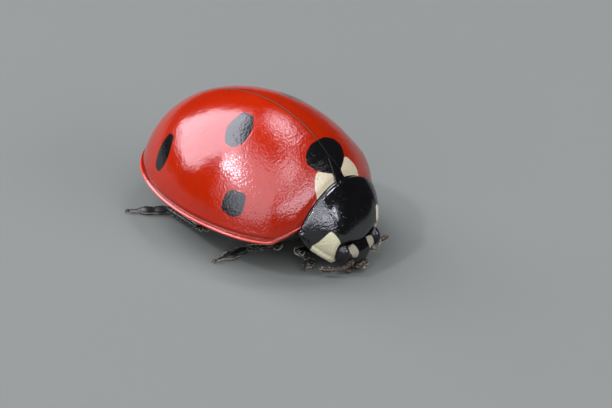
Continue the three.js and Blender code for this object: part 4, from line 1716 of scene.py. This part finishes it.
def foot_material():
    material, tree, shader, place = new_material("foot_horn")
    grain = use(tree, GRAIN, Vector=place, Size=FOOT_GRAIN_SIZE)["Height"]
    height = sums(tree, "ADD", split(tree, place)[2], sums(tree, "MULTIPLY", grain, SOLE_UNEVENNESS))
    top = FLOOR_Z + SOLE_TOP
    pale = ramp(tree, height, top - SOLE_FADE[0], top + SOLE_FADE[1], 1.0, 0.0)
    colour = blend(tree, pale, mottled(tree, grain, FOOT_BROWN, FOOT_BLACK), SOLE_PALE)
    roughness = ramp(tree, grain, *ROUGHNESS_BAND, *FOOT_ROUGHNESS)
    finish_material(tree, shader, colour, roughness, bump(tree, grain, FOOT_GRAIN_DEPTH))
    return material


LEG_ARMOUR = armour("leg_armour", pit_spacing=0.05, pit_depth=0.004, roughness=(0.2, 0.35))
GLINT_HORN = horn_material("painted_glint_horn", GLINT_PALE, GLINT_PALE_DARK)
FOOT_HORN = foot_material()
CLAW_HORN = horn_material("claw_horn", HORN_BROWN, DARK_AMBER, roughness=(0.2, 0.3))
print("leg finishes:", LEG_ARMOUR.name, GLINT_HORN.name, FOOT_HORN.name, CLAW_HORN.name)

# %% [markdown]
# ## Six legs
# With the shapes and finishes ready, the legs are a loop over three places and two sides. Each leg is
# five pieces. Three stand for a solid of the CAD model, and the claws and the painted highlights of
# pale rings and shank line are extra. The paths are kept in a list, because the bristles are planted
# along them.

# %% Leg pieces
all_paths = []
for leg_name, place in LEGS.items():
    for side_name, side in SIDES.items():
        paths = leg_paths(place, side)
        name = leg_name + "_" + side_name
        finish_piece(name + "_thigh", thigh(paths), LEG_ARMOUR, [name + "_femur"])
        finish_piece(name + "_shank", shank(paths), LEG_ARMOUR, [name + "_shin"])
        finish_piece(name + "_toes", foot(paths), FOOT_HORN, [name + "_foot"])
        finish_piece(name + "_claws", claws(paths), CLAW_HORN)
        # Painted highlights: pale rings and a line that stand for glints on the black leg.
        finish_piece(name + "_painted_glints", painted_glints(paths), GLINT_HORN)
        all_paths.append(paths)

# %% [markdown]
# ## Bristles
# The shells are bare, but the legs, the feelers and the lip carry short pale bristles that lean towards
# the tips. A particle system would not survive as a mesh, so each bristle is a three-sided cone, planted
# at a seeded random place on a limb. Each has its own small patch on a UV map, at its root's place along
# and around the limb, so that it can be baked.

# %% Planting bristles
SEED = 7
BRISTLE_SIDES = 3
BRISTLE_RADIUS = 0.006
BRISTLE_TIP_SHARE = 0.15
BRISTLE_ROOTING = 1.1
BAKE_PATCH = 0.003
TILES = 6
TILE_FILL = 0.95
PLANTED_PART = (0.06, 0.97)
LAST_HEADING = 0.98
LEAN = 0.9
LEAN_RANGE = (0.6, 1.4)
LENGTH_RANGE = (0.6, 1.2)
FLOOR_CLEARANCE = 0.01


def plant(bm, uv_map, root, heading, length, uv_root):
    turn = heading.to_track_quat("Z", "Y").to_matrix().to_4x4()
    stand = Matrix.Translation(root + heading * (length / 2)) @ turn
    cone = bmesh.ops.create_cone(bm, cap_ends=True, segments=BRISTLE_SIDES, radius1=BRISTLE_RADIUS,
                                 radius2=BRISTLE_RADIUS * BRISTLE_TIP_SHARE,
                                 depth=length * BRISTLE_ROOTING, matrix=stand)
    for index, vert in enumerate(cone["verts"]):
        across = uv_root[0] + BAKE_PATCH * (index % BRISTLE_SIDES) / BRISTLE_SIDES
        along = uv_root[1] + BAKE_PATCH * (index // BRISTLE_SIDES)
        for loop in vert.link_loops:
            loop[uv_map].uv = (across, along)


def plant_run(bm, uv_map, run, tile, chance):
    points, radii, flatten, count, length = run
    points = [Vector(point) for point in points]
    corner = (tile % TILES / TILES, tile // TILES / TILES)
    for _ in range(count):
        turn = chance.random()
        part = chance.uniform(*PLANTED_PART)
        root = tube_point(points, outline(radii), turn, part, flatten)
        outward = (root - profile(points, part)).normalized()
        tipward = heading_at(points, min(part, LAST_HEADING))
        heading = (outward + tipward * LEAN * chance.uniform(*LEAN_RANGE)).normalized()
        if (root + heading * length).z < FLOOR_Z + FLOOR_CLEARANCE:
            continue
        uv_root = (corner[0] + part * TILE_FILL / TILES, corner[1] + turn * TILE_FILL / TILES)
        plant(bm, uv_map, root, heading, length * chance.uniform(*LENGTH_RANGE), uv_root)


print("a bristle is", 2 * BRISTLE_RADIUS, "mm thick at its root")

# %% [markdown]
# ## Where the bristles grow
# Every limb gets a number of bristles and a length. Of the leg joints the shanks have the most, and
# each feeler has more than any of them. The limbs follow one another in a fixed order, because each
# takes its random places from one shared row of numbers.

# %% All bristles
LIMBS = {
    "thigh": (THIGH_OUTLINE, THIGH_FLATTEN, 45, 0.06),
    "shank": (SHANK_OUTLINE, SHANK_FLATTEN, 80, 0.08),
    "foot": (FOOT_OUTLINE, FOOT_FLATTEN, 60, 0.07),
}
FEELER_RUN = (FEELER_OUTLINE, 1.0, 110, 0.05)
LIP_RUN = ([LIP_RADIUS] * 2, LIP_FLATTEN, 70, 0.06)
BRISTLE_PALE = (0.4, 0.36, 0.27, 1)
BRISTLE_BROWN = (0.12, 0.09, 0.055, 1)
BRISTLE_TONE_SCALE = 3.0
BRISTLE_ROUGHNESS = (0.35, 0.5)


def bristle_runs():
    """Each run is a path, its outline and flattening, and the number and length of its bristles."""
    runs = [(paths[limb], *shape) for paths in all_paths for limb, shape in LIMBS.items()]
    runs += [(path, *FEELER_RUN) for path in FEELER_PATHS.values()]
    return runs + [(LIP, *LIP_RUN)]


def bristle_material():
    material, tree, shader, place = new_material("bristle")
    tone = noise(tree, place, BRISTLE_TONE_SCALE)
    colour = mottled(tree, tone, BRISTLE_PALE, BRISTLE_BROWN)
    finish_material(tree, shader, colour, ramp(tree, tone, *ROUGHNESS_BAND, *BRISTLE_ROUGHNESS))
    return material


def plant_all():
    bm = bmesh.new()
    uv_map = bm.loops.layers.uv.new("OFBake")
    chance = random.Random(SEED)
    for tile, run in enumerate(bristle_runs()):
        plant_run(bm, uv_map, run, tile, chance)
    return bm


finish_piece("bristles", plant_all(), bristle_material())

# %% [markdown]
# ## The size
# The box around all the finished pieces is printed beside the box of the CAD model, so that the two
# can be compared.

# %% Size and finish
sizes = {"cad": [list(corner) for corner in cad_box], "visual": [list(corner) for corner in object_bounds()]}
print(sizes)
